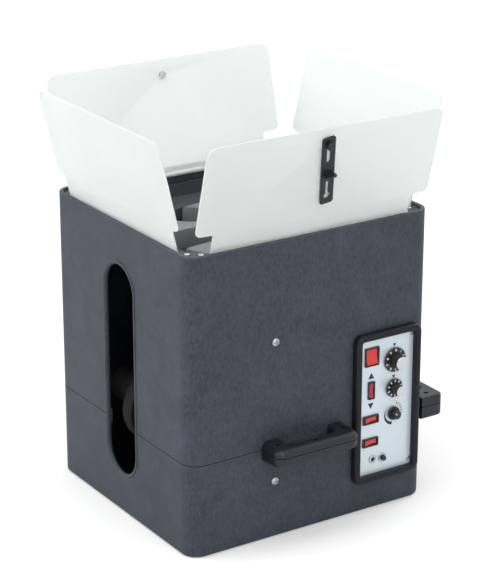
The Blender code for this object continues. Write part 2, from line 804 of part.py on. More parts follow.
def make_switch(name, size, z, border, upright, resting, black, red):
    """A rocker on its pivot inside a bezel that snaps into the panel."""
    low, high = panel_front - SWITCH_DEPTH, panel_front + FIT + SWITCH_FLANGE
    shell = [value - 2 * (border - SWITCH_SHELL) for value in size]
    room = [value - 2 * border for value in size]
    flange = plate(
        f"{name}_bezel",
        [rounded_rectangle(*size, SWITCH_CORNER)],
        SWITCH_FLANGE,
        facing_side(high - SWITCH_FLANGE / 2, SWITCH_Y, z),
        black,
    )
    body = box(
        f"{name}_switch_body",
        (low, SWITCH_Y - shell[0] / 2, z - shell[1] / 2),
        (high - SWITCH_FLANGE / 2, SWITCH_Y + shell[0] / 2, z + shell[1] / 2),
    )
    pocket = box(
        f"{name}_pocket",
        (panel_front - ROCKER_DEPTH - ROCKER_SWING_ROOM, SWITCH_Y - room[0] / 2, z - room[1] / 2),
        (high + PASS, SWITCH_Y + room[0] / 2, z + room[1] / 2),
    )
    cut(join(flange, body), pocket)

    along = room[1] if upright else room[0]
    across = room[0] if upright else room[1]
    half = along / 2 - ROCKER_ROOM
    outline = [
        (half, ROCKER_CREST),
        (0, ROCKER_DIP),
        (-half, ROCKER_CREST),
        (-half + ROCKER_TAPER, -ROCKER_DEPTH),
        (half - ROCKER_TAPER, -ROCKER_DEPTH),
    ]
    centre = (panel_front, SWITCH_Y, z)
    direction = Z if upright else Y
    tilt = Matrix.Rotation(resting * ROCKER_TILT, 4, "Z")
    place = plane(centre, direction, X) @ tilt
    rocker = plate(f"{name}_rocker", [outline], across - 2 * ROCKER_ROOM, place, red)
    hang_on(rocker, centre)


def make_knob(name, z, skirt, cap, height, black, grey):
    """A knob whose shaft turns in the bushing of a potentiometer on the board behind the panel."""
    seat = panel_front
    back = seat + KNOB_CLEARANCE
    front = seat + height
    shaft_end = panel_back - SHAFT_REACH
    grip = cap + GRIP_FLARE
    profile = [
        (0, front),
        (cap - EDGE, front),
        (cap, front - EDGE),
        (cap + EDGE, front - 3 * EDGE),
        (grip, back + SKIRT_THICKNESS),
        (skirt - EDGE / 2, back + SKIRT_THICKNESS),
        (skirt, back + SKIRT_THICKNESS - EDGE / 2),
        (skirt, back),
        (KNOB_SHAFT, back),
        (KNOB_SHAFT, shaft_end),
        (0, shaft_end),
    ]
    origin = (0, KNOB_Y, z)
    knob = turned(f"{name}_knob", profile, origin, X, black)
    for i in range(FLUTE_COUNT):
        angle = 2 * math.pi * i / FLUTE_COUNT
        side = Vector((0, math.cos(angle), math.sin(angle))) * (grip + FLUTE_RADIUS / 4)
        start = Vector((back + SKIRT_THICKNESS + EDGE, KNOB_Y, z)) + side
        flute = rod(f"{name}_flute_{i}", start, start + X * height, FLUTE_RADIUS, steps=5)
        cut(knob, flute)
    hang_on(knob, (front, KNOB_Y, z))

    board_front = panel_front - SWITCH_DEPTH
    bushing_end = back - RUNNING
    ring = [
        (0, shaft_end - RUNNING),
        (KNOB_SHAFT + RUNNING, shaft_end - RUNNING),
        (KNOB_SHAFT + RUNNING, bushing_end),
        (BUSHING, bushing_end),
        (BUSHING, panel_back - FIT),
        (POT_RADIUS, panel_back - FIT),
        (POT_RADIUS, board_front),
        (0, board_front),
    ]
    turned(f"{name}_potentiometer", ring, origin, X, grey)


def make_sockets(steel, black):
    """The charge socket, and the reset breaker with the button that pops out of it."""
    for name, y, z, bore, ring in (
        ("charge_socket", SOCKET_Y, socket_z, SOCKET_BORE, SOCKET_RING),
        ("reset_breaker", RESET_Y, reset_z, RESET_BUTTON + RUNNING, RESET_RING),
    ):
        front = panel_front + FIT + RING_THICKNESS
        barrel = bore + BARREL_WALL - (RUNNING if name == "reset_breaker" else 0)
        profile = [
            (0, front - SOCKET_DEPTH),
            (bore, front - SOCKET_DEPTH),
            (bore, front),
            (ring - EDGE / 2, front),
            (ring, front - EDGE / 2),
            (ring, panel_front + FIT),
            (barrel, panel_front + FIT),
            (barrel, front - SOCKET_DEPTH - BARREL_BACK),
            (0, front - SOCKET_DEPTH - BARREL_BACK),
        ]
        turned(name, profile, (0, y, z), X, steel)
    start = panel_front + FIT + RING_THICKNESS - SOCKET_DEPTH + RESET_TRAVEL + RUNNING
    end = panel_front + RING_THICKNESS + RESET_PROUD
    profile = [
        (0, end),
        (RESET_BUTTON - EDGE, end),
        (RESET_BUTTON, end - EDGE),
        (RESET_BUTTON, start),
        (0, start),
    ]
    hang_on(turned("reset_button", profile, (0, RESET_Y, reset_z), X, black), (end, RESET_Y, reset_z))


def make_board(green):
    front = panel_front - SWITCH_DEPTH - FIT
    top = FRAME_CENTRE_Z + FRAME_OPENING_HEIGHT / 2 - BOARD_INSET
    box(
        "circuit_board",
        (front - BOARD_THICKNESS, FRAME_CENTRE_Y - BOARD_WIDTH / 2, top - BOARD_HEIGHT),
        (front, FRAME_CENTRE_Y + BOARD_WIDTH / 2, top),
        green,
    )


# Hopper


def sheet_outline(neck, half, flare, height):
    """A hopper panel: a narrow neck between the corner posts, then a wider sheet with rounded corners."""
    start = (HINGE_BORE + KNUCKLE_RADIUS) / 2
    right = [(neck, start)]
    right += arc((neck + FLARE_FILLET, flare - FLARE_FILLET), FLARE_FILLET, 180, 90, 3)
    right += arc((half - FLARE_CORNER, flare + FLARE_CORNER + FLARE_RISE), FLARE_CORNER, -90, 0, 4)
    right += arc((half - TOP_CORNER, height - TOP_CORNER), TOP_CORNER, 0, 90, 5)
    return mirrored(right)


def make_panel(name, hinge, across, lean, outward, neck, half, flare, height, translucent, steel):
    """A sheet with a rolled lower edge that turns on a steel rod."""
    rise = (Z * math.cos(lean) + outward * math.sin(lean)).normalized()
    place = plane(hinge, across, rise)
    sheet = plate(name, [sheet_outline(neck, half, flare, height)], SHEET, place, translucent)
    knuckle = plate(
        f"{name}_knuckle",
        [circle(KNUCKLE_RADIUS, steps=ROD_STEPS), circle(HINGE_BORE, steps=ROD_STEPS)],
        2 * (neck - KNUCKLE_INSET),
        plane(hinge, rise, across.cross(rise)),
    )
    join(sheet, knuckle)
    hang_on(sheet, hinge)
    end = neck + NECK_GAP + ROD_SEAT
    name = name.replace("panel", "hinge_rod")
    rod(name, hinge - across * end, hinge + across * end, HINGE_ROD, steel, ROD_STEPS)
    return sheet, place


def make_hopper_panels(translucent, steel):
    """The side panels are cut for the latch studs. Folded, they lie over the end panels."""
    side_height = side_hinge_x - SIDE_MEETING_GAP / 2
    end_height = end_hinge_y - END_MEETING_GAP / 2
    fold_level = side_hinge_z - SHEET / 2
    end_face = end_hinge_y + (fold_level - end_hinge_z) * math.tan(END_LEAN) - SHEET / 2 / math.cos(END_LEAN)
    side_half = end_face - FIT
    end_half = side_hinge_x - END_PANEL_INSET
    stud_height = side_hinge_x - LATCH_SPACING / 2
    for name, sign in (("right", 1), ("left", -1)):
        hinge = Vector((sign * side_hinge_x, 0, side_hinge_z))
        sheet, place = make_panel(
            f"{name}_panel", hinge, Y * sign, SIDE_LEAN, X * sign, post_y - NECK_GAP, side_half, SIDE_FLARE,
            side_height, translucent, steel,
        )  # fmt: skip
        stud = hinge + place.to_3x3() @ Vector((0, stud_height, 0))
        out = (place.to_3x3() @ Z).normalized()
        bore = (STUD_SHAFT if name == "right" else KEEPER_NECK) + FIT
        cutter = rod(f"{name}_stud_bore", stud - out * 2 * SHEET, stud + out * 2 * SHEET, bore)
        cut(sheet, cutter)
        studs[name] = (stud, out, (place.to_3x3() @ Y).normalized())
    for name, sign in (("rear", 1), ("front", -1)):
        hinge = Vector((0, sign * end_hinge_y, end_hinge_z))
        make_panel(
            f"{name}_panel", hinge, X * -sign, END_LEAN, Y * sign, post_x - NECK_GAP, end_half, END_FLARE,
            end_height, translucent, steel,
        )  # fmt: skip


def make_latch(black, steel):
    """A strip on the right panel's stud. With both panels folded it hooks over the left one's keeper."""
    stud, out, rise = studs["right"]
    half = SHEET / 2
    strip_low = half + LATCH_STANDOFF
    strip_high = strip_low + LATCH_THICKNESS
    profile = [
        (0, strip_high + STUD_HEAD_HEIGHT),
        (STUD_HEAD - EDGE, strip_high + STUD_HEAD_HEIGHT),
        (STUD_HEAD, strip_high + STUD_HEAD_HEIGHT - EDGE),
        (STUD_HEAD, strip_high + FIT),
        (STUD_SHAFT, strip_high + FIT),
        (STUD_SHAFT, strip_low - FIT),
        (STUD_HEAD, strip_low - FIT),
        (STUD_HEAD, half + FIT),
        (STUD_SHAFT, half + FIT),
        (STUD_SHAFT, -half - FIT),
        (STUD_NUT, -half - FIT),
        (STUD_NUT, -half - NUT_THICKNESS),
        (0, -half - NUT_THICKNESS),
    ]
    hang_on(turned("latch_stud", profile, stud, out, black, ROD_STEPS), stud)

    keeper, keeper_out, _ = studs["left"]
    keeper_profile = [
        (0, strip_high + KEEPER_HEAD_HEIGHT),
        (KEEPER_HEAD - EDGE, strip_high + KEEPER_HEAD_HEIGHT),
        (KEEPER_HEAD, strip_high + KEEPER_HEAD_HEIGHT - EDGE),
        (KEEPER_HEAD, strip_high + FIT),
        (KEEPER_NECK, strip_high + FIT),
        (KEEPER_NECK, half + KEEPER_COLLAR),
        (KEEPER_HEAD, half + KEEPER_COLLAR),
        (KEEPER_HEAD, half + FIT),
        (KEEPER_NECK, half + FIT),
        (KEEPER_NECK, -half - FIT),
        (STUD_NUT, -half - FIT),
        (STUD_NUT, -half - NUT_THICKNESS),
        (0, -half - NUT_THICKNESS),
    ]
    turned("keeper_stud", keeper_profile, keeper, keeper_out, steel, ROD_STEPS)

    # The strip is drawn hanging straight, then swung about the stud. Its slot ends at the stud
    hang = Matrix.Rotation(LATCH_HANG, 4, "Z")
    place = plane(stud + out * (strip_low + LATCH_THICKNESS / 2), Y, rise) @ hang
    corners = [
        (-LATCH_WIDTH / 2, -LATCH_BELOW, LATCH_FOOT_SHARE),
        (LATCH_WIDTH / 2, -LATCH_BELOW, LATCH_FOOT_SHARE),
        (LATCH_WIDTH / 2, LATCH_ABOVE, 1),
        (-LATCH_WIDTH / 2, LATCH_ABOVE, 1),
    ]
    slot = upright_slot(LATCH_SLOT, -latch_travel - LATCH_SLOT / 2, LATCH_SLOT / 2)
    narrow = LATCH_NARROW / 2
    meet = math.sqrt(LATCH_HOLE**2 - narrow**2)
    opening = math.degrees(math.asin(narrow / LATCH_HOLE))
    centre = (0, -LATCH_HOLE_DISTANCE)
    keyhole = arc(centre, LATCH_HOLE, 90 + opening, 450 - opening, 3 * ARC_STEPS)
    keyhole += arc((0, centre[1] + meet + LATCH_NARROW_LENGTH), narrow, 0, 180, ARC_STEPS)
    outlines = [bowed_corner(corners, LATCH_CORNER), slot, keyhole]
    strip = plate("latch_strip", outlines, LATCH_THICKNESS, place, black)
    tab_outline = bowed_corner(
        [
            (EDGE - LATCH_WIDTH / 2, 0, 0),
            (LATCH_WIDTH / 2 - EDGE, 0, 0),
            (LATCH_WIDTH / 2 - TAB_CORNER, LATCH_TAB_REACH, 1),
            (TAB_CORNER - LATCH_WIDTH / 2, LATCH_TAB_REACH, 1),
        ],
        TAB_CORNER,
    )
    tab_place = place @ plane((0, -LATCH_TAB_HEIGHT, 0), X, Z)
    join(strip, plate("latch_tab", [tab_outline], TAB_THICKNESS, tab_place))
    hang_on(strip, stud)


def funnel(name, wall):
    """The liner's inside, or its outside at a wall's thickness: a round well under a shallow cone."""
    radius = recess_radius + wall
    well_top = liner_floor + RECESS_DEPTH - wall
    far = liner_y + radius
    cone_top = well_top + (far - radius) * math.tan(FUNNEL_SLOPE)
    rim = max(CASE_HEIGHT, cone_top) + PASS
    base = liner_base if wall else liner_floor
    profile = [(0, rim), (far, rim), (far, cone_top), (radius, well_top), (radius, base), (0, base)]
    return turned(name, profile, (0, ROTOR_Y, 0), Z, steps=WHEEL_STEPS)


def make_liner(plastic):
    """A tray with a well for the feed rotor, a flange on the case's ledge, and posts that hold the rods."""
    flange_plan = rounded_rectangle(2 * liner_x, 2 * liner_y, CASE_CORNER - WALL - LINER_GAP / 2)
    mouth = (2 * (liner_x - LINER_MOUTH), 2 * (liner_y - LINER_MOUTH))
    liner = prism("hopper_liner", flange_plan, flange_low, post_high, plastic)
    between_x = box("post_gap_x", (-post_x, -rear_y, flange_high), (post_x, rear_y, CASE_HEIGHT + PASS))
    between_y = box("post_gap_y", (-side_x, -post_y, flange_high), (side_x, post_y, CASE_HEIGHT + PASS))
    bowl_size = [size + 2 * LINER_WALL for size in mouth]
    bowl_plan = rounded_rectangle(*bowl_size, MOUTH_CORNER + LINER_WALL)
    bowl = prism("bowl_outside", bowl_plan, liner_base - PASS, flange_low + PASS / 2)
    keep_common(bowl, funnel("bowl_funnel", LINER_WALL))
    hollow = prism("bowl_inside", rounded_rectangle(*mouth, MOUTH_CORNER), liner_base, CASE_HEIGHT + PASS)
    keep_common(hollow, funnel("hollow_funnel", 0))
    top_hollow = prism(
        "mouth_cutter", rounded_rectangle(*mouth, MOUTH_CORNER), flange_low - PASS, CASE_HEIGHT + PASS
    )
    below, above = Z * (liner_base - PASS), Z * (liner_floor + PASS)
    drop = rod("drop_hole", Y * drop_y + below, Y * drop_y + above, POCKET_RADIUS, steps=CHUTE_STEPS)
    shaft = rod("rotor_hole", Y * ROTOR_Y + below, Y * ROTOR_Y + above, ROTOR_SHAFT + RUNNING)
    bores = []
    for sign in (1, -1):
        side = Vector((sign * side_hinge_x, 0, side_hinge_z))
        end = Vector((0, sign * end_hinge_y, end_hinge_z))
        for centre, reach in ((side, Y * (post_y + ROD_SEAT + FIT)), (end, X * (post_x + ROD_SEAT + FIT))):
            bores.append(rod("rod_bore", centre - reach, centre + reach, HINGE_ROD + FIT, steps=ROD_STEPS))
    cut(liner, between_x, between_y, top_hollow)
    join(liner, bowl)
    cut(liner, hollow, drop, shaft, *bores)


def make_feed(rotor_plastic, grey, black):
    """The rotor carries balls in its pockets to the drop hole. A gearmotor under the liner turns it."""
    bottom = liner_floor + RUNNING
    edge = bottom + ROTOR_HEIGHT
    profile = [
        (0, edge + ROTOR_DOME),
        (ROTOR_RADIUS / 10, edge + ROTOR_DOME),
        (ROTOR_RADIUS / 5, edge + ROTOR_DOME * 4 / 5),
        (ROTOR_RADIUS / 2, edge + ROTOR_DOME / 3),
        (ROTOR_RADIUS - ROTOR_EDGE, edge),
        (ROTOR_RADIUS, edge - ROTOR_EDGE),
        (ROTOR_RADIUS, bottom),
        (ROTOR_SHAFT, bottom),
        (ROTOR_SHAFT, liner_base + FIT),
        (0, liner_base + FIT),
    ]
    rotor = turned("feed_rotor", profile, (0, ROTOR_Y, 0), Z, rotor_plastic, steps=WHEEL_STEPS)
    for i in range(ROTOR_POCKETS):
        angle = 2 * math.pi * i / ROTOR_POCKETS + math.pi / 2
        away = Vector((math.cos(angle), math.sin(angle), 0))
        pocket = [
            (ROTOR_RADIUS + POCKET_RADIUS, -POCKET_RADIUS),
            (ROTOR_RADIUS + POCKET_RADIUS, POCKET_RADIUS),
        ] + arc((POCKET_PITCH, 0), POCKET_RADIUS, 90, 270, 2 * ARC_STEPS)
        place = plane((0, ROTOR_Y, edge), away, Z.cross(away))
        cut(rotor, plate(f"pocket_{i}", [pocket], 4 * ROTOR_HEIGHT, place))
    hang_on(rotor, (0, ROTOR_Y, bottom))

    width, length, height = FEED_MOTOR_SIZE
    top = liner_base - FIT
    front, back = ROTOR_Y - length / 2, ROTOR_Y + length / 2
    gearbox = box("feed_motor", (-width / 2, front, top - height), (width / 2, back, top), grey)
    can = rod(
        "feed_motor_can",
        (0, back - PASS, top - height / 2),
        (0, back + FEED_MOTOR_CAN, top - height / 2),
        height / 2 - CAN_INSET,
    )
    join(gearbox, can)

    # The chute turns the falling ball forwards and ends behind the throwing wheels
    drop = Vector((0, drop_y, pivot.z + CHUTE_BEND_RISE))
    mouth = Vector((0, pivot.y + CHUTE_MOUTH_GAP, pivot.z + CHUTE_MOUTH_RISE))
    ahead = (mouth - drop).normalized()
    outside = CHUTE_BORE + CHUTE_WALL
    well = drop - Z * (CHUTE_BORE + CHUTE_SUMP)
    chute = rod("ball_chute", well - Z * CHUTE_WALL, Vector((0, drop_y, top)), outside, black, CHUTE_STEPS)
    flange_foot = Vector((0, drop_y, top - CHUTE_FLANGE_THICKNESS))
    flange = rod("chute_flange", flange_foot, (0, drop_y, top), CHUTE_FLANGE, steps=CHUTE_STEPS)
    run = rod("chute_run", drop, mouth, outside, steps=CHUTE_STEPS)
    fall = rod("chute_fall", well, Vector((0, drop_y, top + PASS)), CHUTE_BORE, steps=CHUTE_STEPS)
    roll = rod("chute_roll", drop, mouth + ahead * PASS, CHUTE_BORE, steps=CHUTE_STEPS)
    opening = box(
        "chute_opening",
        (-outside - PASS, mouth.y - outside, mouth.z + CHUTE_LIP),
        (outside + PASS, drop_y - outside - PASS, mouth.z + CHUTE_LIP + 2 * outside),
    )
    join(chute, run, flange)
    cut(chute, fall, roll, opening)


# Throwing head

forward = Vector((0, -math.cos(REST_ELEVATION), math.sin(REST_ELEVATION)))
head_up = Vector((0, math.sin(REST_ELEVATION), math.cos(REST_ELEVATION)))


def head_plane(x):
    """A plane of the tilted head: its X runs forwards along the throw and its Y across it, upwards."""
    return plane(pivot + X * x, forward, head_up)


def head_point(x, ahead, up):
    return pivot + X * x + forward * ahead + head_up * up


def head_plate_outline():
    """From the upper motor down behind the pivot, round the cross member's tab, to the lower motor."""
    outline = arc((NIP_AHEAD, wheel_up), HEAD_PLATE_END, 0, 180, 2 * ARC_STEPS)
    outline += arc((0, 0), PIVOT_EAR, 115, 215)
    behind = Vector((-CROSS_EDGE / 2, CROSS_EDGE / 2))
    outline += arc(Vector(CROSS_TOP) + behind, CROSS_EDGE, 90, 180, 2)
    outline += arc(Vector(CROSS_BOTTOM) - Vector((CROSS_EDGE / 2, CROSS_EDGE)), CROSS_EDGE, 180, 270, 2)
    outline += arc((NIP_AHEAD, -wheel_up), HEAD_PLATE_END, 230, 360, 2 * ARC_STEPS)
    return outline


def make_wheels_and_motors(tyre, motor_steel):
    for name, sign in (("upper", 1), ("lower", -1)):
        centre = head_point(0, NIP_AHEAD, sign * wheel_up)
        half = WHEEL_WIDTH / 2
        rim = WHEEL_RADIUS - TYRE_DEPTH
        axle_end = HEAD_INSIDE + HEAD_PLATE + PASS
        profile = [
            (0, axle_end),
            (AXLE, axle_end),
            (AXLE, half + HUB_PROUD),
            (WHEEL_HUB, half + HUB_PROUD),
            (WHEEL_HUB, half - RIM_DISH),
            (rim, half - RIM_DISH),
            (rim, half - EDGE),
            (WHEEL_RADIUS - TYRE_EDGE, half),
            (WHEEL_RADIUS, half - TYRE_EDGE),
            (WHEEL_RADIUS, TYRE_EDGE - half),
            (WHEEL_RADIUS - TYRE_EDGE, -half),
            (rim, EDGE - half),
            (rim, RIM_DISH - half),
            (WHEEL_HUB, RIM_DISH - half),
            (WHEEL_HUB, -half - HUB_PROUD),
            (AXLE, -half - HUB_PROUD),
            (AXLE, -HEAD_INSIDE - HEAD_PLATE),
            (0, -HEAD_INSIDE - HEAD_PLATE),
        ]
        hang_on(turned(f"{name}_wheel", profile, centre, X, tyre, steps=WHEEL_STEPS), centre)

        near_end = -HEAD_INSIDE - HEAD_PLATE - FIT
        far_end = near_end - MOTOR_LENGTH
        can = [
            (0, near_end),
            (MOTOR_RADIUS - MOTOR_EDGE, near_end),
            (MOTOR_RADIUS, near_end - MOTOR_EDGE),
            (MOTOR_RADIUS, far_end + MOTOR_EDGE),
            (MOTOR_RADIUS - MOTOR_EDGE, far_end),
            (MOTOR_BOSS, far_end),
            (MOTOR_BOSS, far_end - MOTOR_BOSS_LENGTH),
            (0, far_end - MOTOR_BOSS_LENGTH),
        ]
        hang_on(turned(f"{name}_motor", can, centre, X, motor_steel), head_point(0, 0, 0))


def make_head_plates(steel):
    for name, sign in (("left", -1), ("right", 1)):
        outlines = [head_plate_outline(), circle(PIVOT_PIN + RUNNING)]
        for up in (wheel_up, -wheel_up):
            outlines.append(circle(AXLE + RUNNING, (NIP_AHEAD, up)))
        middle = sign * (HEAD_INSIDE + HEAD_PLATE / 2)
        made = plate(f"head_plate_{name}", outlines, HEAD_PLATE, head_plane(middle), steel)
        hang_on(made, pivot)

    # A folded plate behind the lower wheel ties the two head plates together
    top, bottom = Vector(CROSS_TOP), Vector(CROSS_BOTTOM)
    run = top - bottom
    middle = head_point(0, *((top + bottom) / 2))
    rise = (forward * run.x + head_up * run.y).normalized()
    outline = rounded_rectangle(2 * (HEAD_INSIDE - FIT), run.length, HEAD_PLATE)
    tie = plate("head_crossmember", [outline], HEAD_PLATE, plane(middle, X, rise), steel)
    hang_on(tie, pivot)


def involute(angle):
    return math.tan(angle) - angle


def tooth(teeth, centre_angle):
    """One tooth of a gear, from the root before it to the root after it, round the gear's centre."""
    pitch = GEAR_MODULE * teeth / 2
    base = pitch * math.cos(PRESSURE_ANGLE)
    root, tip = pitch - TOOTH_ROOT * GEAR_MODULE, pitch + TOOTH_HEIGHT * GEAR_MODULE
    start = max(base, root)
    radii = [start + (tip - start) * share for share in (0, 0.5, 1)]
    half_pitch = math.pi / teeth / 2 - BACKLASH / 4 / pitch + involute(PRESSURE_ANGLE)
    flank = [(root, half_pitch)] if root < base else []
    flank += [(radius, half_pitch - involute(math.acos(min(base / radius, 1)))) for radius in radii]
    points = [(radius, centre_angle - half) for radius, half in flank]
    points += [(radius, centre_angle + half) for radius, half in reversed(flank)]
    return [(radius * math.cos(angle), radius * math.sin(angle)) for radius, angle in points]


def make_elevation_drive(steel, brass, grey):
    """A toothed sector on the head plate, driven by a pinion on a gearmotor that the side frame carries."""
    near_face = HEAD_INSIDE + HEAD_PLATE + FIT
    middle = near_face + GEAR_WIDTH / 2
    meeting = PINION_DIRECTION - REST_ELEVATION
    step = 2 * math.pi / SECTOR_TEETH
    outline = []
    for k in range(-SECTOR_BEFORE, SECTOR_AFTER + 1):
        outline += tooth(SECTOR_TEETH, meeting + k * step)
    first, last = meeting - SECTOR_BEFORE * step, meeting + SECTOR_AFTER * step
    outline += span((0, 0), GEAR_HUB, last + HUB_WRAP, first + 2 * math.pi - HUB_WRAP, 2 * ARC_STEPS)
    rim, foot = sector_pitch * SECTOR_RIM, GEAR_HUB * SECTOR_WINDOW_FOOT
    window = span((0, 0), rim, first + SECTOR_SPOKE, last - SECTOR_SPOKE, 2 * ARC_STEPS)
    window += span((0, 0), foot, last - SPOKE_ROOT, first + SPOKE_ROOT, ARC_STEPS)
    sector = plate(
        "sector_gear", [outline, circle(PIVOT_PIN + RUNNING), window], GEAR_WIDTH, head_plane(middle), steel
    )
    hang_on(sector, pivot)

    pinion = []
    step = 2 * math.pi / PINION_TEETH
    for k in range(PINION_TEETH):
        pinion += tooth(PINION_TEETH, PINION_DIRECTION + math.pi + (k + 0.5) * step)
    level = plane(pinion_centre + X * middle, -Y, Z)
    gear = plate("elevation_pinion", [pinion], GEAR_WIDTH, level, brass)
    shaft = rod(
        "pinion_shaft",
        pinion_centre + X * (near_face + PASS),
        pinion_centre + X * (upright_inside + UPRIGHT_PLATE),
        AXLE,
    )
    hang_on(join(gear, shaft), pinion_centre)
    start = upright_inside + UPRIGHT_PLATE + FIT
    can = [
        (0, start + ELEVATION_MOTOR_LENGTH),
        (ELEVATION_MOTOR - 2 * MOTOR_EDGE, start + ELEVATION_MOTOR_LENGTH),
        (ELEVATION_MOTOR - MOTOR_EDGE, start + ELEVATION_MOTOR_LENGTH - MOTOR_EDGE),
        (ELEVATION_MOTOR - MOTOR_EDGE, start + ELEVATION_GEARBOX),
        (ELEVATION_MOTOR, start + ELEVATION_GEARBOX),
        (ELEVATION_MOTOR, start),
        (0, start),
    ]
    turned("elevation_motor", can, pinion_centre, X, grey)


def make_side_frames(steel, pin_steel):
    """Each frame is screwed to a side wall and reaches in to the head's pivot pin."""
    for name, sign in (("left", -1), ("right", 1)):
        inside, outside = upright_inside, upright_inside + UPRIGHT_PLATE
        holes = [circle(PIVOT_PIN + FIT)]
        away = Vector((pivot.y - screw_y, 0))
        if name == "right":
            away = Vector((pivot.y - pinion_centre.y, pinion_centre.z - pivot.z))
            holes.append(circle(AXLE + RUNNING, away))
        angle = math.degrees(math.atan2(away.y, away.x))
        ears = arc((0, 0), UPRIGHT_EAR, angle + 90, angle + 270, 2 * ARC_STEPS)
        ears += arc(away, UPRIGHT_EAR, angle - 90, angle + 90, 2 * ARC_STEPS)
        upright = plate(
            f"side_frame_{name}",
            [ears] + holes,
            UPRIGHT_PLATE,
            plane(pivot + X * sign * (inside + outside) / 2, -Y, Z),
            steel,
        )
        wall_in = inner_x - FIT - FLANGE_THICKNESS
        web = [
            (sign * (inside + UPRIGHT_PLATE / 2), pivot.z - WEB_ROOT),
            (sign * (wall_in + EDGE), screw_low - WALL_FLANGE_MARGIN),
            (sign * (wall_in + EDGE), screw_high + WALL_FLANGE_MARGIN),
            (sign * (wall_in - WEB_SLOPE_TOP[0]), screw_high - WEB_SLOPE_TOP[1]),
            (sign * (inside + UPRIGHT_PLATE / 2), pivot.z + WEB_ROOT),
        ]
        if sign < 0:
            web.reverse()
        window = [
            (sign * (inside + 3 * WEB_RIM), pivot.z - WEB_RIM),
            (sign * (wall_in - WEB_RIM), screw_low + WEB_RIM),
            (sign * (wall_in - WEB_RIM), screw_high - 2 * WEB_RIM),
            (sign * (inside + 3 * WEB_RIM), pivot.z + WEB_RIM / 3),
        ]
        web_piece = plate(f"side_web_{name}", [web, window], WEB_THICKNESS, plane((0, screw_y, 0), X, Z))
        flange_x = inner_x - FIT - FLANGE_THICKNESS / 2
        middle = Vector((sign * flange_x, screw_y, (screw_low + screw_high) / 2))
        height = screw_high - screw_low + 2 * WALL_FLANGE_MARGIN
        half = Vector((FLANGE_THICKNESS, WALL_FLANGE_WIDTH, height)) / 2
        flange = box(f"wall_flange_{name}", middle - half, middle + half)
        join(upright, web_piece, flange)

        pin = [
            (0, outside + PIN_HEAD_THICKNESS),
            (PIN_HEAD, outside + PIN_HEAD_THICKNESS),
            (PIN_HEAD, outside + FIT),
            (PIVOT_PIN, outside + FIT),
            (PIVOT_PIN, HEAD_INSIDE - FIT),
            (0, HEAD_INSIDE - FIT),
        ]
        turned(f"pivot_pin_{name}", pin, pivot, X * sign, pin_steel)


# Base


def make_base(black, grey, tyre):
    width, length, height = BATTERY_SIZE
    left = -inner_x + FLANGE_THICKNESS + 2 * FIT + EDGE / 2
    bottom = floor_z + FIT
    front = screw_y + BATTERY_BEHIND
    battery = box(
        "battery", (left, front, bottom), (left + width, front + length, bottom + height), black
    )
    for i, side in enumerate((-1, 1)):
        along = front + length / 2 + side * (length / 2 - TERMINAL_INSET)
        post = Vector((left + width / 2, along, bottom + height - PASS))
        tip = post + Z * (PASS + BATTERY_TERMINAL)
        join(battery, rod(f"terminal_{i}", post, tip, BATTERY_TERMINAL, steps=ROD_STEPS))

    centre = Vector((0, oscillator_front + OSCILLATOR_WIDTH / 2, OSCILLATOR_WHEEL))
    half = OSCILLATOR_WIDTH / 2
    profile = [
        (0, half),
        (OSCILLATOR_WHEEL - OSCILLATOR_EDGE, half),
        (OSCILLATOR_WHEEL, half - OSCILLATOR_EDGE),
        (OSCILLATOR_WHEEL, OSCILLATOR_EDGE - half),
        (OSCILLATOR_WHEEL - OSCILLATOR_EDGE, -half),
        (AXLE, -half),
        (AXLE, -half - OSCILLATOR_SHAFT),
        (0, -half - OSCILLATOR_SHAFT),
    ]
    hang_on(turned("oscillator_wheel", profile, centre, Y, tyre), centre)
    start = -half - OSCILLATOR_SHAFT - FIT
    can = [
        (0, start),
        (OSCILLATOR_MOTOR, start),
        (OSCILLATOR_MOTOR, start - OSCILLATOR_MOTOR_LENGTH),
        (0, start - OSCILLATOR_MOTOR_LENGTH),
    ]
    motor = turned("oscillator_motor", can, centre, Y, grey)
    back = centre.y + start - OSCILLATOR_MOTOR_LENGTH
    foot = box(
        "oscillator_foot",
        (-OSCILLATOR_FOOT / 2, back + OSCILLATOR_FOOT / 2, floor_z + FIT),
        (OSCILLATOR_FOOT / 2, back + 3 * OSCILLATOR_FOOT / 2, OSCILLATOR_WHEEL),
    )
    join(motor, foot)


# Values that more than one piece needs

cutout_width = FRAME_OPENING_WIDTH - 2 * CUTOUT_MARGIN
cutout_height = FRAME_OPENING_HEIGHT - 2 * CUTOUT_MARGIN
recess_radius = ROTOR_RADIUS + WELL_CLEARANCE
latch_travel = LATCH_HOLE_DISTANCE - LATCH_SPACING
sector_pitch = GEAR_MODULE * SECTOR_TEETH / 2
gear_distance = GEAR_MODULE * (SECTOR_TEETH + PINION_TEETH) / 2
pinion_centre = pivot + gear_distance * Vector((0, -math.cos(PINION_DIRECTION), math.sin(PINION_DIRECTION)))
upright_inside = HEAD_INSIDE + HEAD_PLATE + UPRIGHT_GAP
oscillator_front = OSCILLATOR_Y - OSCILLATOR_WIDTH / 2
oscillator_chord = math.sqrt(OSCILLATOR_WHEEL**2 - (OSCILLATOR_WHEEL - floor_z) ** 2) + OSCILLATOR_WINDOW
studs = {}

# Building

for thing in list(bpy.data.objects):
    bpy.data.objects.remove(thing)

parts = bpy.data.collections.new("padel_ball_machine")
cutters = bpy.data.collections.new("cutters")
for collection in (parts, cutters):
    bpy.context.scene.collection.children.link(collection)

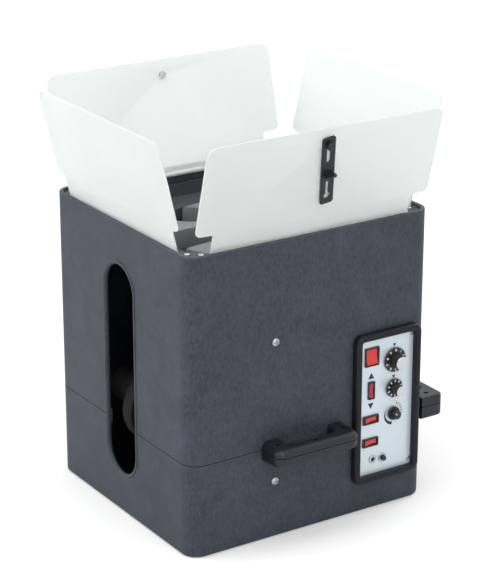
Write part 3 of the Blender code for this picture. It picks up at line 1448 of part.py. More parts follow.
case_plastic = material("case_plastic", (0.048, 0.052, 0.062), 0.55)
frame_plastic = material("frame_plastic", (0.035, 0.037, 0.043), 0.5)
black_plastic = material("black_plastic", (0.02, 0.02, 0.022), 0.45)
hopper_sheet = material("hopper_sheet", (0.86, 0.9, 0.9), 0.45, alpha=0.9)
liner_plastic = material("liner_plastic", (0.45, 0.47, 0.48), 0.5)
rotor_plastic = material("rotor_plastic", (0.62, 0.64, 0.64), 0.45)
panel_metal = material("panel_metal", (0.62, 0.68, 0.75), 0.4, 0.6)
red_plastic = material("red_plastic", (0.78, 0.05, 0.03), 0.3)
dark_red_plastic = material("dark_red_plastic", (0.35, 0.03, 0.06), 0.3)
zinc_steel = material("zinc_steel", (0.62, 0.63, 0.64), 0.35, 1.0)
black_steel = material("black_steel", (0.03, 0.03, 0.032), 0.45, 0.5)
motor_steel = material("motor_steel", (0.2, 0.2, 0.21), 0.4, 0.9)
grey_plastic = material("grey_plastic", (0.16, 0.17, 0.18), 0.5)
wheel_rubber = material("wheel_rubber", (0.03, 0.03, 0.032), 0.75)
brass = material("brass", (0.72, 0.53, 0.22), 0.35, 1.0)
board_green = material("board_green", (0.03, 0.18, 0.08), 0.5)

make_case(case_plastic)
make_handles(case_plastic)
make_control_frame(frame_plastic)
make_control_panel(panel_metal)
for name, size, z, border, upright, resting in switches():
    red = dark_red_plastic if name == "elevation" else red_plastic
    make_switch(name, size, z, border, upright, resting, black_plastic, red)
for name, z, skirt, cap, height in knobs():
    make_knob(name, z, skirt, cap, height, black_plastic, grey_plastic)
make_sockets(zinc_steel, black_plastic)
make_board(board_green)
make_hopper_panels(hopper_sheet, zinc_steel)
make_latch(black_plastic, zinc_steel)
make_liner(liner_plastic)
make_feed(rotor_plastic, grey_plastic, black_plastic)
make_head_plates(black_steel)
make_wheels_and_motors(wheel_rubber, motor_steel)
make_elevation_drive(zinc_steel, brass, motor_steel)
make_side_frames(black_steel, zinc_steel)
make_base(grey_plastic, motor_steel, wheel_rubber)
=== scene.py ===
import json
import math

import bmesh
import bpy
from mathutils import Matrix, Vector


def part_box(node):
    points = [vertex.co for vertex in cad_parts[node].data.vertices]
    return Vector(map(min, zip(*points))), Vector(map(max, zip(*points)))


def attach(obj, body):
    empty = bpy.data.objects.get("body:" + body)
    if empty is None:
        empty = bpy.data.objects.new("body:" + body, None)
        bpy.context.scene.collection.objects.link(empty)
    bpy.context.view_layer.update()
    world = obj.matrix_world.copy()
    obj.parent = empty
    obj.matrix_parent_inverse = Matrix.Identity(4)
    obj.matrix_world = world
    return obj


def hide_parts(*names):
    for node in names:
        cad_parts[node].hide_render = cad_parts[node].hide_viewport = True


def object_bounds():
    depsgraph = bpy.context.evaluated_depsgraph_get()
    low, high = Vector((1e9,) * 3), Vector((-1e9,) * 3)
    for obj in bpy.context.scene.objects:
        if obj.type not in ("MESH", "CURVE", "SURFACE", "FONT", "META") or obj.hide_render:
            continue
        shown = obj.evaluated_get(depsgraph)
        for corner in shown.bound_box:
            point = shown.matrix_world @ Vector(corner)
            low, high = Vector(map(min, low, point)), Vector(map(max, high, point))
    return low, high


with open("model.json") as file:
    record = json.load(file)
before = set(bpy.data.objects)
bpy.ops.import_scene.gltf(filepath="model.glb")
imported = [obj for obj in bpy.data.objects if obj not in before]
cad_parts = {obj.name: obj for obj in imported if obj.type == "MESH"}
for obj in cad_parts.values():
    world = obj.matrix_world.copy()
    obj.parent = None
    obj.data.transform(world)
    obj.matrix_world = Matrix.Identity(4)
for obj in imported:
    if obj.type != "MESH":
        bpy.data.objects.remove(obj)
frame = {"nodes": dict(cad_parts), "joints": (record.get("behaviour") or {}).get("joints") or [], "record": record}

cad_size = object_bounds()
X, Y, Z = Vector((1, 0, 0)), Vector((0, 1, 0)), Vector((0, 0, 1))

# Camera
# It stands to the right of the throwing slot and looks slightly down through a long lens.
# The lens is given for a 36 mm sensor on the picture's long side.

CAMERA_PLACE = Vector((2.6723, -1.7306, 1.5045))
CAMERA_AZIMUTH = math.radians(57.07)
CAMERA_ELEVATION = math.radians(20.22)
LENS, SENSOR = 134.76, 36

camera = bpy.data.objects.new("camera", bpy.data.cameras.new("camera"))
camera.data.lens = LENS
camera.data.sensor_width = SENSOR
across = Vector((math.cos(CAMERA_AZIMUTH), math.sin(CAMERA_AZIMUTH), 0))
level = Vector((math.sin(CAMERA_AZIMUTH), -math.cos(CAMERA_AZIMUTH), 0))
back = level * math.cos(CAMERA_ELEVATION) + Z * math.sin(CAMERA_ELEVATION)
turn = Matrix((across, back.cross(across), back)).transposed().to_4x4()
camera.matrix_world = Matrix.Translation(CAMERA_PLACE) @ turn
bpy.context.scene.collection.objects.link(camera)
bpy.context.scene.camera = camera
bpy.context.scene.view_settings.view_transform = "Standard"

# Studio
# A white floor that keeps a soft shadow and grows whiter far off, a white surround for reflections,
# and four large soft lamps: before the slot, before the controls, behind and above.

FLOOR_HALF = 12
FLOOR_GREY = 0.80
NEAR_GLOW, FAR_GLOW = 0.22, 0.75
GLOW_STARTS, GLOW_ENDS = 1.6, 5.0
SURROUND = 0.62
LAMPS = (
    ("slot_lamp", (-1.3, -3.0, 2.3), 2.2, 65),
    ("control_lamp", (3.2, -0.6, 2.6), 2.2, 36),
    ("rear_lamp", (-0.6, 3.2, 2.8), 2.2, 40),
    ("top_lamp", (0.2, -0.2, 3.4), 2.2, 44),
)


def feed(target, *inputs, **named):
    """Gives a node's inputs values or links, in their order or by name."""
    by_name = ((name.replace("_", " "), value) for name, value in named.items())
    for key, value in (*enumerate(inputs), *by_name):
        if isinstance(value, bpy.types.NodeSocket):
            target.id_data.links.new(value, target.inputs[key])
        else:
            target.inputs[key].default_value = value
    return target


def node(tree, kind, *inputs, **named):
    """A shader node, with its settings and its inputs."""
    made = tree.nodes.new(kind)
    for name in [name for name in named if name in made.bl_rna.properties]:
        setattr(made, name, named.pop(name))
    return feed(made, *inputs, **named)


def reckon(tree, operation, *values, **settings):
    """What a math node makes of its values."""
    return node(tree, "ShaderNodeMath", *values, operation=operation, **settings).outputs[0]


floor_shape = bmesh.new()
bmesh.ops.create_grid(floor_shape, x_segments=1, y_segments=1, size=FLOOR_HALF)
floor = bpy.data.objects.new("floor", bpy.data.meshes.new("floor"))
floor_shape.to_mesh(floor.data)
bpy.context.scene.collection.objects.link(floor)

floor_finish = bpy.data.materials.new("floor")
floor_finish.use_nodes = True
tree = floor_finish.node_tree
tree.nodes.clear()
rays = node(tree, "ShaderNodeLightPath")
place = node(tree, "ShaderNodeTexCoord")
distance = node(tree, "ShaderNodeVectorMath", place.outputs["Object"], operation="LENGTH")
far_off = node(
    tree, "ShaderNodeMapRange", Value=distance.outputs["Value"], From_Min=GLOW_STARTS, From_Max=GLOW_ENDS,
    To_Min=NEAR_GLOW, To_Max=FAR_GLOW,
)  # fmt: skip
glow_share = reckon(tree, "MULTIPLY", rays.outputs["Is Camera Ray"], far_off.outputs["Result"])
glow = node(tree, "ShaderNodeEmission", Strength=glow_share)
diffuse = node(tree, "ShaderNodeBsdfDiffuse", Color=(FLOOR_GREY, FLOOR_GREY, FLOOR_GREY, 1))
both = node(tree, "ShaderNodeAddShader", diffuse.outputs[0], glow.outputs[0])
node(tree, "ShaderNodeOutputMaterial", Surface=both.outputs[0])
floor.data.materials.append(floor_finish)

world = bpy.data.worlds.new("surround")
world.use_nodes = True
tree = world.node_tree
tree.nodes.clear()
rays = node(tree, "ShaderNodeLightPath")
seen = reckon(tree, "MAXIMUM", rays.outputs["Is Camera Ray"], rays.outputs["Is Glossy Ray"])
shown = reckon(tree, "MAXIMUM", seen, rays.outputs["Is Transmission Ray"])
strength = node(tree, "ShaderNodeMapRange", Value=shown, To_Min=SURROUND, To_Max=1)
surround = node(tree, "ShaderNodeBackground", Color=(1, 1, 1, 1), Strength=strength.outputs["Result"])
node(tree, "ShaderNodeOutputWorld", Surface=surround.outputs[0])
bpy.context.scene.world = world

centre = (cad_size[0] + cad_size[1]) / 2
for name, place, size, power in LAMPS:
    lamp = bpy.data.objects.new(name, bpy.data.lights.new(name, "AREA"))
    lamp.data.energy = power
    lamp.data.size = size
    lamp.location = place
    lamp.rotation_euler = (Vector(place) - centre).to_track_quat("Z", "Y").to_euler()
    bpy.context.scene.collection.objects.link(lamp)

# Case
# Two moulded charcoal shells, a tub below and an open ring above. They meet at a fine seam, and a raised lip
# runs round the tall slot in front of the throwing wheels.

WALL = 0.006
CASE_CORNER = 0.027
BASE_ROUNDING = 0.006
RIM_ROUNDING = 0.0016
SEAM_GROOVE = 0.0008
GROOVE_DEPTH = 0.004
TONGUE = 0.0025
TONGUE_FOOT = 0.015
TONGUE_GAP = 0.0003
LEDGE = 0.010
LEDGE_LOW, LEDGE_HIGH = 0.442, 0.447
SLOT_WIDTH = 0.083
SLOT_FOOT = 0.0681
SLOT_MARGIN = 0.0675
LIP = 0.0065
LIP_EDGE = 0.0012
LIP_INNER = 0.0042
BEHIND_LIP = 0.002
WINDOW = 0.002
PANEL_MARGIN = 0.006
CORNER_STEPS, SLOT_STEPS = 12, 64
SHARP = math.radians(35)
CLOSE, TOUCHING = 1e-5, 1e-6
PARALLEL = 0.99
RIM_ANGLE = 0.5
DARKEST = 0.4
STREAK_GLOSS = 0.25
MIX_FROM, MIX_TO, MIXED = 6, 7, 2
CHARCOAL = (0.040, 0.047, 0.065)

lower_low, lower_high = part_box("lower_housing")
upper_low, upper_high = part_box("upper_housing")
side, rear = lower_high.x, lower_high.y
seam = upper_low.z - TONGUE_GAP / 2
lip_proud = -rear - lower_low.y


def block(low, high):
    """A bmesh block between two corners."""
    low, high = Vector(low), Vector(high)
    shape = bmesh.new()
    bmesh.ops.create_cube(shape, size=1, matrix=Matrix.LocRotScale((low + high) / 2, None, high - low))
    return shape


def running(shape, axis):
    """The edges that run along an axis."""
    return [e for e in shape.edges if abs((e.verts[0].co - e.verts[1].co).normalized().dot(axis)) > PARALLEL]


def lying(shape, axis, height):
    """The edges that lie at one height along an axis."""
    return [e for e in shape.edges if all(abs(v.co.dot(axis) - height) < CLOSE for v in e.verts)]


def rims(shape, axis, height):
    """The lying edges where two faces meet at an angle."""
    return [e for e in lying(shape, axis, height) if e.is_manifold and e.calc_face_angle() > RIM_ANGLE]


def soften(shape, edges, width, segments, clamped=True):
    """Rounds the edges."""
    bmesh.ops.bevel(
        shape, geom=edges, offset=width, affect="EDGES", segments=segments, profile=0.5, material=-1,
        clamp_overlap=clamped,
    )  # fmt: skip
    return shape


def rounded_block(low, high, corner):
    """A block with rounded upright edges."""
    shape = block(low, high)
    return soften(shape, running(shape, Z), corner, CORNER_STEPS)


def shade(mesh):
    """Shades a mesh smooth, up to a sharp angle."""
    mesh.shade_smooth()
    mesh.set_sharp_from_angle(angle=SHARP)


def solid(name, shape):
    """An object of a bmesh, its faces turned outwards and shaded."""
    bmesh.ops.recalc_face_normals(shape, faces=shape.faces)
    mesh = bpy.data.meshes.new(name)
    shape.to_mesh(mesh)
    shape.free()
    shade(mesh)
    made = bpy.data.objects.new(name, mesh)
    bpy.context.scene.collection.objects.link(made)
    return made


def settled(piece):
    """The piece's mesh with its modifiers applied."""
    bpy.context.view_layer.update()
    return bpy.data.meshes.new_from_object(piece.evaluated_get(bpy.context.evaluated_depsgraph_get()))


def carve(piece, *cutters):
    """Takes the cutters, given as bmeshes, out of the piece."""
    tools = [solid("cutter", cutter) for cutter in cutters]
    for tool in tools:
        cutting = piece.modifiers.new("carve", "BOOLEAN")
        cutting.solver = "EXACT"
        cutting.object = tool
    mesh = settled(piece)
    piece.modifiers.clear()
    piece.data = mesh
    shade(mesh)
    for tool in tools:
        bpy.data.objects.remove(tool)
    return piece


def carved(shape, *cutters):
    """Takes the cutters out of a bmesh."""
    piece = carve(solid("carving", shape), *cutters)
    left = bmesh.new()
    left.from_mesh(piece.data)
    bpy.data.objects.remove(piece)
    return left


def merge(target, *others):
    """Joins other bmeshes to a bmesh."""
    for other in others:
        mesh = bpy.data.meshes.new("joined")
        other.to_mesh(mesh)
        other.free()
        target.from_mesh(mesh)
        bpy.data.meshes.remove(mesh)
    return target


def dress(piece, body, finish, slot, *nodes):
    """Gives the piece its material and its body, and lets it stand for CAD nodes."""
    piece.data.materials.clear()
    piece.data.materials.append(finish)
    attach(piece, body)
    if nodes:
        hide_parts(*nodes)
    return piece


def ring(low, high, corner, inset, width):
    """An upright wall that follows the case's plan, drawn in by an inset."""
    outer = rounded_block(
        (low[0] + inset, low[1] + inset, low[2]), (high[0] - inset, high[1] - inset, high[2]), corner - inset
    )
    inner = rounded_block(
        (low[0] + inset + width, low[1] + inset + width, low[2] - WALL),
        (high[0] - inset - width, high[1] - inset - width, high[2] + WALL),
        corner - inset - width,
    )
    return carved(outer, inner)


def stadium(width, foot, top):
    """A flat upright slot outline in the plane of the case's front, as one face."""
    shape = bmesh.new()
    upright = Matrix.Translation((0, -rear, foot + width / 2)) @ Matrix.Rotation(math.pi / 2, 4, "X")
    bmesh.ops.create_circle(shape, cap_ends=True, segments=SLOT_STEPS, radius=width / 2, matrix=upright)
    upper = [v for v in shape.verts if v.co.z > foot + width / 2 + TOUCHING]
    level = [v for v in shape.verts if abs(v.co.z - foot - width / 2) < TOUCHING]
    bmesh.ops.translate(shape, verts=upper + level, vec=(0, 0, top - foot - width))
    return shape


def thicken(shape, way):
    """Draws flat faces out into a solid."""
    drawn = bmesh.ops.extrude_face_region(shape, geom=list(shape.faces))
    far = [part for part in drawn["geom"] if isinstance(part, bmesh.types.BMVert)]
    bmesh.ops.translate(shape, verts=far, vec=way)
    bmesh.ops.recalc_face_normals(shape, faces=shape.faces)
    return shape


def open_middle(shape, width):
    """Leaves a border of a flat face, of one width all round."""
    border = bmesh.ops.inset_region(
        shape, faces=list(shape.faces), thickness=width, use_boundary=True, use_even_offset=True
    )
    middle = [face for face in shape.faces if face not in border["faces"]]
    bmesh.ops.delete(shape, geom=middle, context="FACES")
    return shape


def new_group(name, inputs, outputs):
    """A shader node group. An input is given as its number or its kind, and an output as its kind."""
    tree = bpy.data.node_groups.new(name, "ShaderNodeTree")
    for socket, given in inputs.items():
        kind = given if isinstance(given, str) else "Float"
        made = tree.interface.new_socket(socket, in_out="INPUT", socket_type=f"NodeSocket{kind}")
        if kind != given:
            made.default_value = given
    for socket, kind in outputs.items():
        tree.interface.new_socket(socket, in_out="OUTPUT", socket_type=f"NodeSocket{kind}")
    return tree, node(tree, "NodeGroupInput").outputs


def make_moulded_grain():
    """Colour clouds, flow streaks and a fine grain, as on moulded plastic."""
    tree, given = new_group(
        "moulded_grain",
        {
            "Color": "Color", "Roughness": 0.5, "Clouds": 0.2, "Streaks": 0.2, "Grain Scale": 900.0,
            "Relief": 0.2,
        },  # fmt: skip
        {"Color": "Color", "Roughness": "Float", "Normal": "Vector"},
    )
    place = node(tree, "ShaderNodeTexCoord").outputs["Object"]
    tall = node(tree, "ShaderNodeMapping", Vector=place, Scale=(1, 1, 0.42)).outputs[0]
    clouds = node(
        tree, "ShaderNodeTexNoise", Vector=place, Scale=14.0, Detail=9.0, Roughness=0.7, Distortion=0.8
    )
    streaks = node(
        tree, "ShaderNodeTexNoise", Vector=tall, Scale=330.0, Detail=3.0, Roughness=0.65, Distortion=0.6
    )
    grain = node(
        tree, "ShaderNodeTexNoise", Vector=place, Scale=given["Grain Scale"], Detail=3.0, Roughness=0.6
    )

    def swing(noise, amount):
        """A factor about nothing, with pale specks stronger than dark ones."""
        spread = node(
            tree, "ShaderNodeMapRange", Value=noise.outputs["Fac"], From_Min=0.36, From_Max=0.72,
            To_Min=-0.35, To_Max=0.6,
        )  # fmt: skip
        return reckon(tree, "MULTIPLY", spread.outputs["Result"], given[amount])

    streaked = swing(streaks, "Streaks")
    factor = reckon(tree, "ADD", reckon(tree, "ADD", swing(clouds, "Clouds"), streaked), 1)
    kept = reckon(tree, "MAXIMUM", factor, DARKEST)
    tinted = node(tree, "ShaderNodeVectorMath", given["Color"], Scale=kept, operation="SCALE")
    rough = reckon(tree, "MULTIPLY_ADD", streaked, STREAK_GLOSS, given["Roughness"], use_clamp=True)
    relief = node(
        tree, "ShaderNodeBump", Strength=given["Relief"], Distance=0.0006, Height=grain.outputs["Fac"]
    )
    node(tree, "NodeGroupOutput", Color=tinted.outputs[0], Roughness=rough, Normal=relief.outputs[0])
    return tree


def make_edge_wear():
    """A mask that is 1 on edges and 0 on flats, for paler edges that are partly wear and partly a painted
    highlight.
    """
    tree, given = new_group("edge_wear_and_highlight", {"Width": 0.002}, {"Mask": "Float"})
    soft = node(tree, "ShaderNodeBevel", Radius=given["Width"], samples=4).outputs[0]
    hard = node(tree, "ShaderNodeNewGeometry").outputs["Normal"]
    same = node(tree, "ShaderNodeVectorMath", soft, hard, operation="DOT_PRODUCT")
    mask = node(tree, "ShaderNodeMapRange", Value=same.outputs["Value"], From_Min=0.995, From_Max=0.90)
    node(tree, "NodeGroupOutput", Mask=mask.outputs["Result"])
    return tree


moulded_grain = make_moulded_grain()
edge_wear_and_highlight = make_edge_wear()


def shader_of(finish):
    """The node that shades a material."""
    return finish.node_tree.nodes["Principled BSDF"]


def plastic(
    name, colour, roughness=0.5, clouds=0.2, streaks=0.2, grain=900.0, relief=0.2, wear_and_highlight=None, gloss=0.5
):
    """A moulded plastic, paler on its edges: partly wear, partly a painted highlight standing for light caught by
    the edges.
    """
    finish = bpy.data.materials.new(name)
    finish.use_nodes = True
    tree = finish.node_tree
    surface = node(
        tree, "ShaderNodeGroup", node_tree=moulded_grain, Color=(*colour, 1), Roughness=roughness,
        Clouds=clouds, Streaks=streaks, Grain_Scale=grain, Relief=relief,
    )  # fmt: skip
    colours = surface.outputs["Color"]
    # Paler edges: partly wear, partly a painted highlight along every edge, such as beside the seam groove.
    if wear_and_highlight:
        wear_and_highlight_mask = node(tree, "ShaderNodeGroup", node_tree=edge_wear_and_highlight)
        mixed = node(tree, "ShaderNodeMix", wear_and_highlight_mask.outputs["Mask"], data_type="RGBA")
        mixed.inputs[MIX_TO].default_value = (*wear_and_highlight, 1)
        tree.links.new(colours, mixed.inputs[MIX_FROM])
        colours = mixed.outputs[MIXED]
    feed(
        shader_of(finish), Base_Color=colours, Roughness=surface.outputs["Roughness"],
        Normal=surface.outputs["Normal"], Specular_IOR_Level=gloss,
    )  # fmt: skip
    return finish


# The case's paler edges are partly wear and partly a painted highlight, as beside the seam groove.
case_finish = plastic(
    "case_charcoal", CHARCOAL, 0.55, clouds=0.45, streaks=0.75, grain=700.0, relief=0.35,
    wear_and_highlight=(0.075, 0.083, 0.10), gloss=0.33,
)  # fmt: skip


def slot_prism():
    """The opening in the wall behind the lip."""
    shape = stadium(SLOT_WIDTH + 2 * BEHIND_LIP, SLOT_FOOT - BEHIND_LIP, slot_top + BEHIND_LIP)
    bmesh.ops.translate(shape, verts=shape.verts, vec=(0, -WALL, 0))
    return thicken(shape, (0, 3 * WALL, 0))


def seam_groove():
    """The dark joint between the two shells."""
    foot, top = seam - SEAM_GROOVE, seam + SEAM_GROOVE
    return ring((-side, -rear, foot), (side, rear, top), CASE_CORNER, -GROOVE_DEPTH, 2 * GROOVE_DEPTH)


def control_window():
    """The opening behind the control panel."""
    low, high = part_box("control_panel")
    foot = (side - 2 * WALL, low.y + PANEL_MARGIN, low.z + PANEL_MARGIN)
    return block(foot, (side + WALL, high.y - PANEL_MARGIN, high.z - PANEL_MARGIN))


low_corner, high_corner = Vector((-side, -rear, 0)), Vector((side, rear, upper_high.z))
slot_top = upper_high.z - SLOT_MARGIN

outer = rounded_block(low_corner, (side, rear, seam - TONGUE_GAP / 2), CASE_CORNER)
soften(outer, lying(outer, Z, 0), BASE_ROUNDING, 5)
inner_corner = CASE_CORNER - WALL
hollow = rounded_block(
    (WALL - side, WALL - rear, WALL), (side - WALL, rear - WALL, seam + WALL), inner_corner
)
tub = carved(outer, hollow, seam_groove())
tongue_low = (low_corner.x, low_corner.y, seam - TONGUE_FOOT)
tongue = ring(tongue_low, (side, rear, lower_high.z), CASE_CORNER, WALL + TONGUE_GAP, TONGUE)
oscillator_low, oscillator_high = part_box("oscillator_wheel")
window = block(
    (oscillator_low.x - WINDOW, oscillator_low.y, -WALL),
    (oscillator_high.x + WINDOW, oscillator_high.y + WINDOW, 2 * WALL),
)
lower_case = carve(solid("lower_case", merge(tub, tongue)), slot_prism(), control_window(), window)
dress(lower_case, "housing", case_finish, "case_plastic", "lower_housing")

outer = rounded_block((-side, -rear, seam + TONGUE_GAP / 2), high_corner, CASE_CORNER)
soften(outer, lying(outer, Z, upper_high.z), RIM_ROUNDING, 4)
hollow = rounded_block((WALL - side, WALL - rear, 0), (side - WALL, rear - WALL, 1), inner_corner)
wall = carved(outer, hollow, seam_groove())
ledge = ring((-side, -rear, LEDGE_LOW), (side, rear, LEDGE_HIGH), CASE_CORNER, WALL, LEDGE)
upper_case = carve(solid("upper_case", merge(wall, ledge)), slot_prism(), control_window())
dress(upper_case, "housing", case_finish, "case_plastic", "upper_housing")


def at_slot(edge):
    """Whether an edge lies on the slot's side of the lip."""
    middle = (edge.verts[0].co + edge.verts[1].co) / 2
    radius = SLOT_WIDTH / 2
    level = min(max(middle.z, SLOT_FOOT + radius), slot_top - radius)
    return math.hypot(middle.x, middle.z - level) < radius + LIP / 2


for name, keep_upper in (("slot_lip_lower", False), ("slot_lip_upper", True)):
    shape = stadium(SLOT_WIDTH + 2 * LIP, SLOT_FOOT - LIP, slot_top + LIP)
    open_middle(shape, LIP)
    bmesh.ops.translate(shape, verts=shape.verts, vec=(0, -lip_proud, 0))
    thicken(shape, (0, lip_proud + WALL / 2, 0))
    front = rims(shape, Y, -rear - lip_proud)
    inner = [edge for edge in front if at_slot(edge)]
    soften(shape, [edge for edge in front if not at_slot(edge)], LIP_EDGE, 3, clamped=False)
    soften(shape, [edge for edge in inner if edge.is_valid], LIP_INNER, 6, clamped=False)
    split = bmesh.ops.bisect_plane(
        shape,
        geom=shape.verts[:] + shape.edges[:] + shape.faces[:],
        plane_co=(0, 0, seam + (TONGUE_GAP if keep_upper else -TONGUE_GAP) / 2),
        plane_no=Z,
        clear_inner=keep_upper,
        clear_outer=not keep_upper,
    )
    cut_edges = [part for part in split["geom_cut"] if isinstance(part, bmesh.types.BMEdge)]
    bmesh.ops.holes_fill(shape, edges=cut_edges)
    dress(solid(name, shape), "housing", case_finish, "case_plastic")

# Handles
# Each grip is two black mouldings screwed together at the seam's height: a tray below, a domed cap above.
# One stands out of the control side. A wider one runs across the rear and wraps the case's two corners.

GRIP_BLACK = (0.012, 0.0145, 0.021)
ARM = 0.031
ARM_OVERHANG = 0.002
SIDE_GRIP = 0.022
REAR_GRIP = 0.016
SIDE_CORNER = 0.015
INNER_CORNER = 0.0105
REAR_CORNER = 0.011
DOME = 0.0115
TRAY_ROUNDING = 0.008
GRIP_EDGE = 0.004
DOME_DROP = 0.003
TRAY_RISE = 0.005
PARTING = 0.0008
PARTING_DEPTH = 0.002
SCREW_WELL = 0.0036
SCREW_WELL_DEPTH = 0.006
SCREW_SHARE = 0.6

# The grips' paler edges are partly wear and partly a painted highlight on the domed edges.
grip_finish = plastic(
    "grip_black", GRIP_BLACK, 0.34, clouds=0.4, streaks=0.5, grain=1400.0, relief=0.25,
    wear_and_highlight=(0.036, 0.041, 0.054), gloss=0.38,
)  # fmt: skip


def slab(points, low, high):
    """A plan outline of a few corners, drawn up into a solid."""
    shape = bmesh.new()
    shape.faces.new([shape.verts.new((x, y, low)) for x, y in points])
    return thicken(shape, (0, 0, high - low))


def uprights_at(shape, axis, value):
    """The upright edges at one place along an axis."""
    return [e for e in running(shape, Z) if abs(e.verts[0].co.dot(axis) - value) < CLOSE]


def round_grip(shape, free, on_case, inside, outer_width, inner_width):
    """Rounds a grip's free face: its outer edges more than those on the hand's side, its ends not at all."""
    free_edges = [e for e in rims(shape, Z, free) if not all(on_case(v.co) for v in e.verts)]
    inner = [e for e in free_edges if all(inside(v.co) for v in e.verts)]
    outer = [e for e in free_edges if not all(inside(v.co) for v in e.verts)]
    soften(shape, outer, outer_width, 10, clamped=False)
    soften(shape, [e for e in inner if e.is_valid], inner_width, 6, clamped=False)


def part_line(shape, held):
    """Sets the border of the face at the parting line back, so that the two halves meet in a fine groove."""
    meeting = [f for f in shape.faces if all(abs(v.co.z - held) < TOUCHING for v in f.verts)]
    bmesh.ops.inset_region(
        shape, faces=meeting, thickness=PARTING_DEPTH, depth=PARTING - TONGUE_GAP / 2, use_even_offset=True
    )


def lean(shape, outward, root, reach, held, shift):
    """Slopes the top or the underside of a grip outwards, and leaves the height that is held as it is."""
    levels = [v.co.z for v in shape.verts]
    far = max(levels) if abs(min(levels) - held) < abs(max(levels) - held) else min(levels)
    for v in shape.verts:
        share = (v.co.z - held) / (far - held)
        v.co.z += shift * share * (v.co.dot(outward) - root) / reach


def pin(radius, depth, place, steps):
    """An upright cylinder about a place."""
    shape = bmesh.new()
    bmesh.ops.create_cone(
        shape, cap_ends=True, segments=steps, radius1=radius, radius2=radius, depth=depth,
        matrix=Matrix.Translation(place),
    )  # fmt: skip
    return shape


def well(x, y, top):
    """A screw's well in the top of a grip."""
    return pin(SCREW_WELL, 2 * SCREW_WELL_DEPTH, (x, y, top), steps=24)


tray_foot, cap_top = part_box("side_handle_lower")[0].z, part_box("side_handle_upper")[1].z
for half, rounding, held, free, shift in (
    ("lower", TRAY_ROUNDING, seam - PARTING, tray_foot, TRAY_RISE),
    ("upper", DOME, seam + PARTING, cap_top, -DOME_DROP),
):
    low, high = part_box(f"side_handle_{half}")
    outline = [
        (low.x, low.y),
        (high.x, low.y),
        (high.x, high.y),
        (low.x, high.y),
        (low.x, high.y - ARM),
        (high.x - SIDE_GRIP, high.y - ARM),
        (high.x - SIDE_GRIP, low.y + ARM),
        (low.x, low.y + ARM),
    ]
    shape = slab(outline, min(held, free), max(held, free))
    soften(shape, uprights_at(shape, X, high.x), SIDE_CORNER, 12)
    soften(shape, uprights_at(shape, X, high.x - SIDE_GRIP), INNER_CORNER, 8)
    hand = (low.y + ARM - CLOSE, high.y - ARM + CLOSE)
    round_grip(
        shape, free, lambda place: place.x < low.x + CLOSE,
        lambda place: hand[0] < place.y < hand[1] and place.x < high.x - SIDE_GRIP + CLOSE,
        rounding, GRIP_EDGE,
    )  # fmt: skip
    part_line(shape, held)
    lean(shape, X, low.x, high.x - low.x, held, shift)
    grip = solid(f"side_grip_{half}", shape)
    if half == "upper":
        arm_middle = low.x + SCREW_SHARE * ARM
        wells = [
            well(arm_middle, low.y + ARM / 2, cap_top - DOME_DROP / 3),
            well(arm_middle, high.y - ARM / 2, cap_top - DOME_DROP / 3),
            well(high.x - SCREW_SHARE * SIDE_GRIP, (low.y + high.y) / 2, cap_top - DOME_DROP),
        ]
        carve(grip, *wells)
    dress(grip, "housing", grip_finish, "case_plastic", f"side_handle_{half}")

for half in ("lower", "upper"):
    low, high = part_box(f"rear_handle_{half}")
    upper = half == "upper"
    held, free = (seam + PARTING, high.z) if upper else (seam - PARTING, low.z)
    inner = high.x - ARM - ARM_OVERHANG
    outline = [
        (high.x, low.y),
        (high.x, high.y),
        (low.x, high.y),
        (low.x, low.y),
        (-inner, low.y),
        (-inner, high.y - REAR_GRIP),
        (inner, high.y - REAR_GRIP),
        (inner, low.y),
    ]
    shape = slab(outline, min(held, free), max(held, free))
    soften(shape, uprights_at(shape, Y, high.y), REAR_CORNER, 10)
    soften(shape, uprights_at(shape, Y, high.y - REAR_GRIP), REAR_CORNER, 8)
    round_grip(
        shape, free, lambda place: place.y < low.y + CLOSE,
        lambda place: abs(place.x) < inner + CLOSE and place.y < high.y - REAR_GRIP + CLOSE,
        GRIP_EDGE, GRIP_EDGE,
    )  # fmt: skip
    part_line(shape, held)
    gap = TONGUE_GAP
    case_block = rounded_block((-side - gap, -rear - gap, 0), (side + gap, rear + gap, 1), CASE_CORNER + gap)
    grip = solid(f"rear_grip_{half}", shape)
    wells = [well(end * (high.x - ARM / 2), rear + ARM / 3, high.z) for end in (1, -1)] if upper else []
    carve(grip, case_block, *wells)
    dress(grip, "housing", grip_finish, "case_plastic", f"rear_handle_{half}")

# Screws in the case
# Zinc-plated pan heads with a cross recess. Two on each side hold the frame that carries the throwing head.
# The head's outline is the same for every screw on the machine, and only its size differs.

ZINC = (0.60, 0.61, 0.63)
SIDE_SCREW = 0.0065
SCREW_BEHIND = 0.0327
SCREWS_FROM_PIVOT = (-0.1452, 0.0816)
HEAD_HEIGHT = 0.42
HEAD_OUTLINE = ((0, 1), (0.45, 0.97), (0.78, 0.78), (0.95, 0.42), (1, 0.1), (1, 0), (0, 0))
CROSS_ARM, CROSS_HALF, CROSS_DEPTH = 0.62, 0.15, 0.9


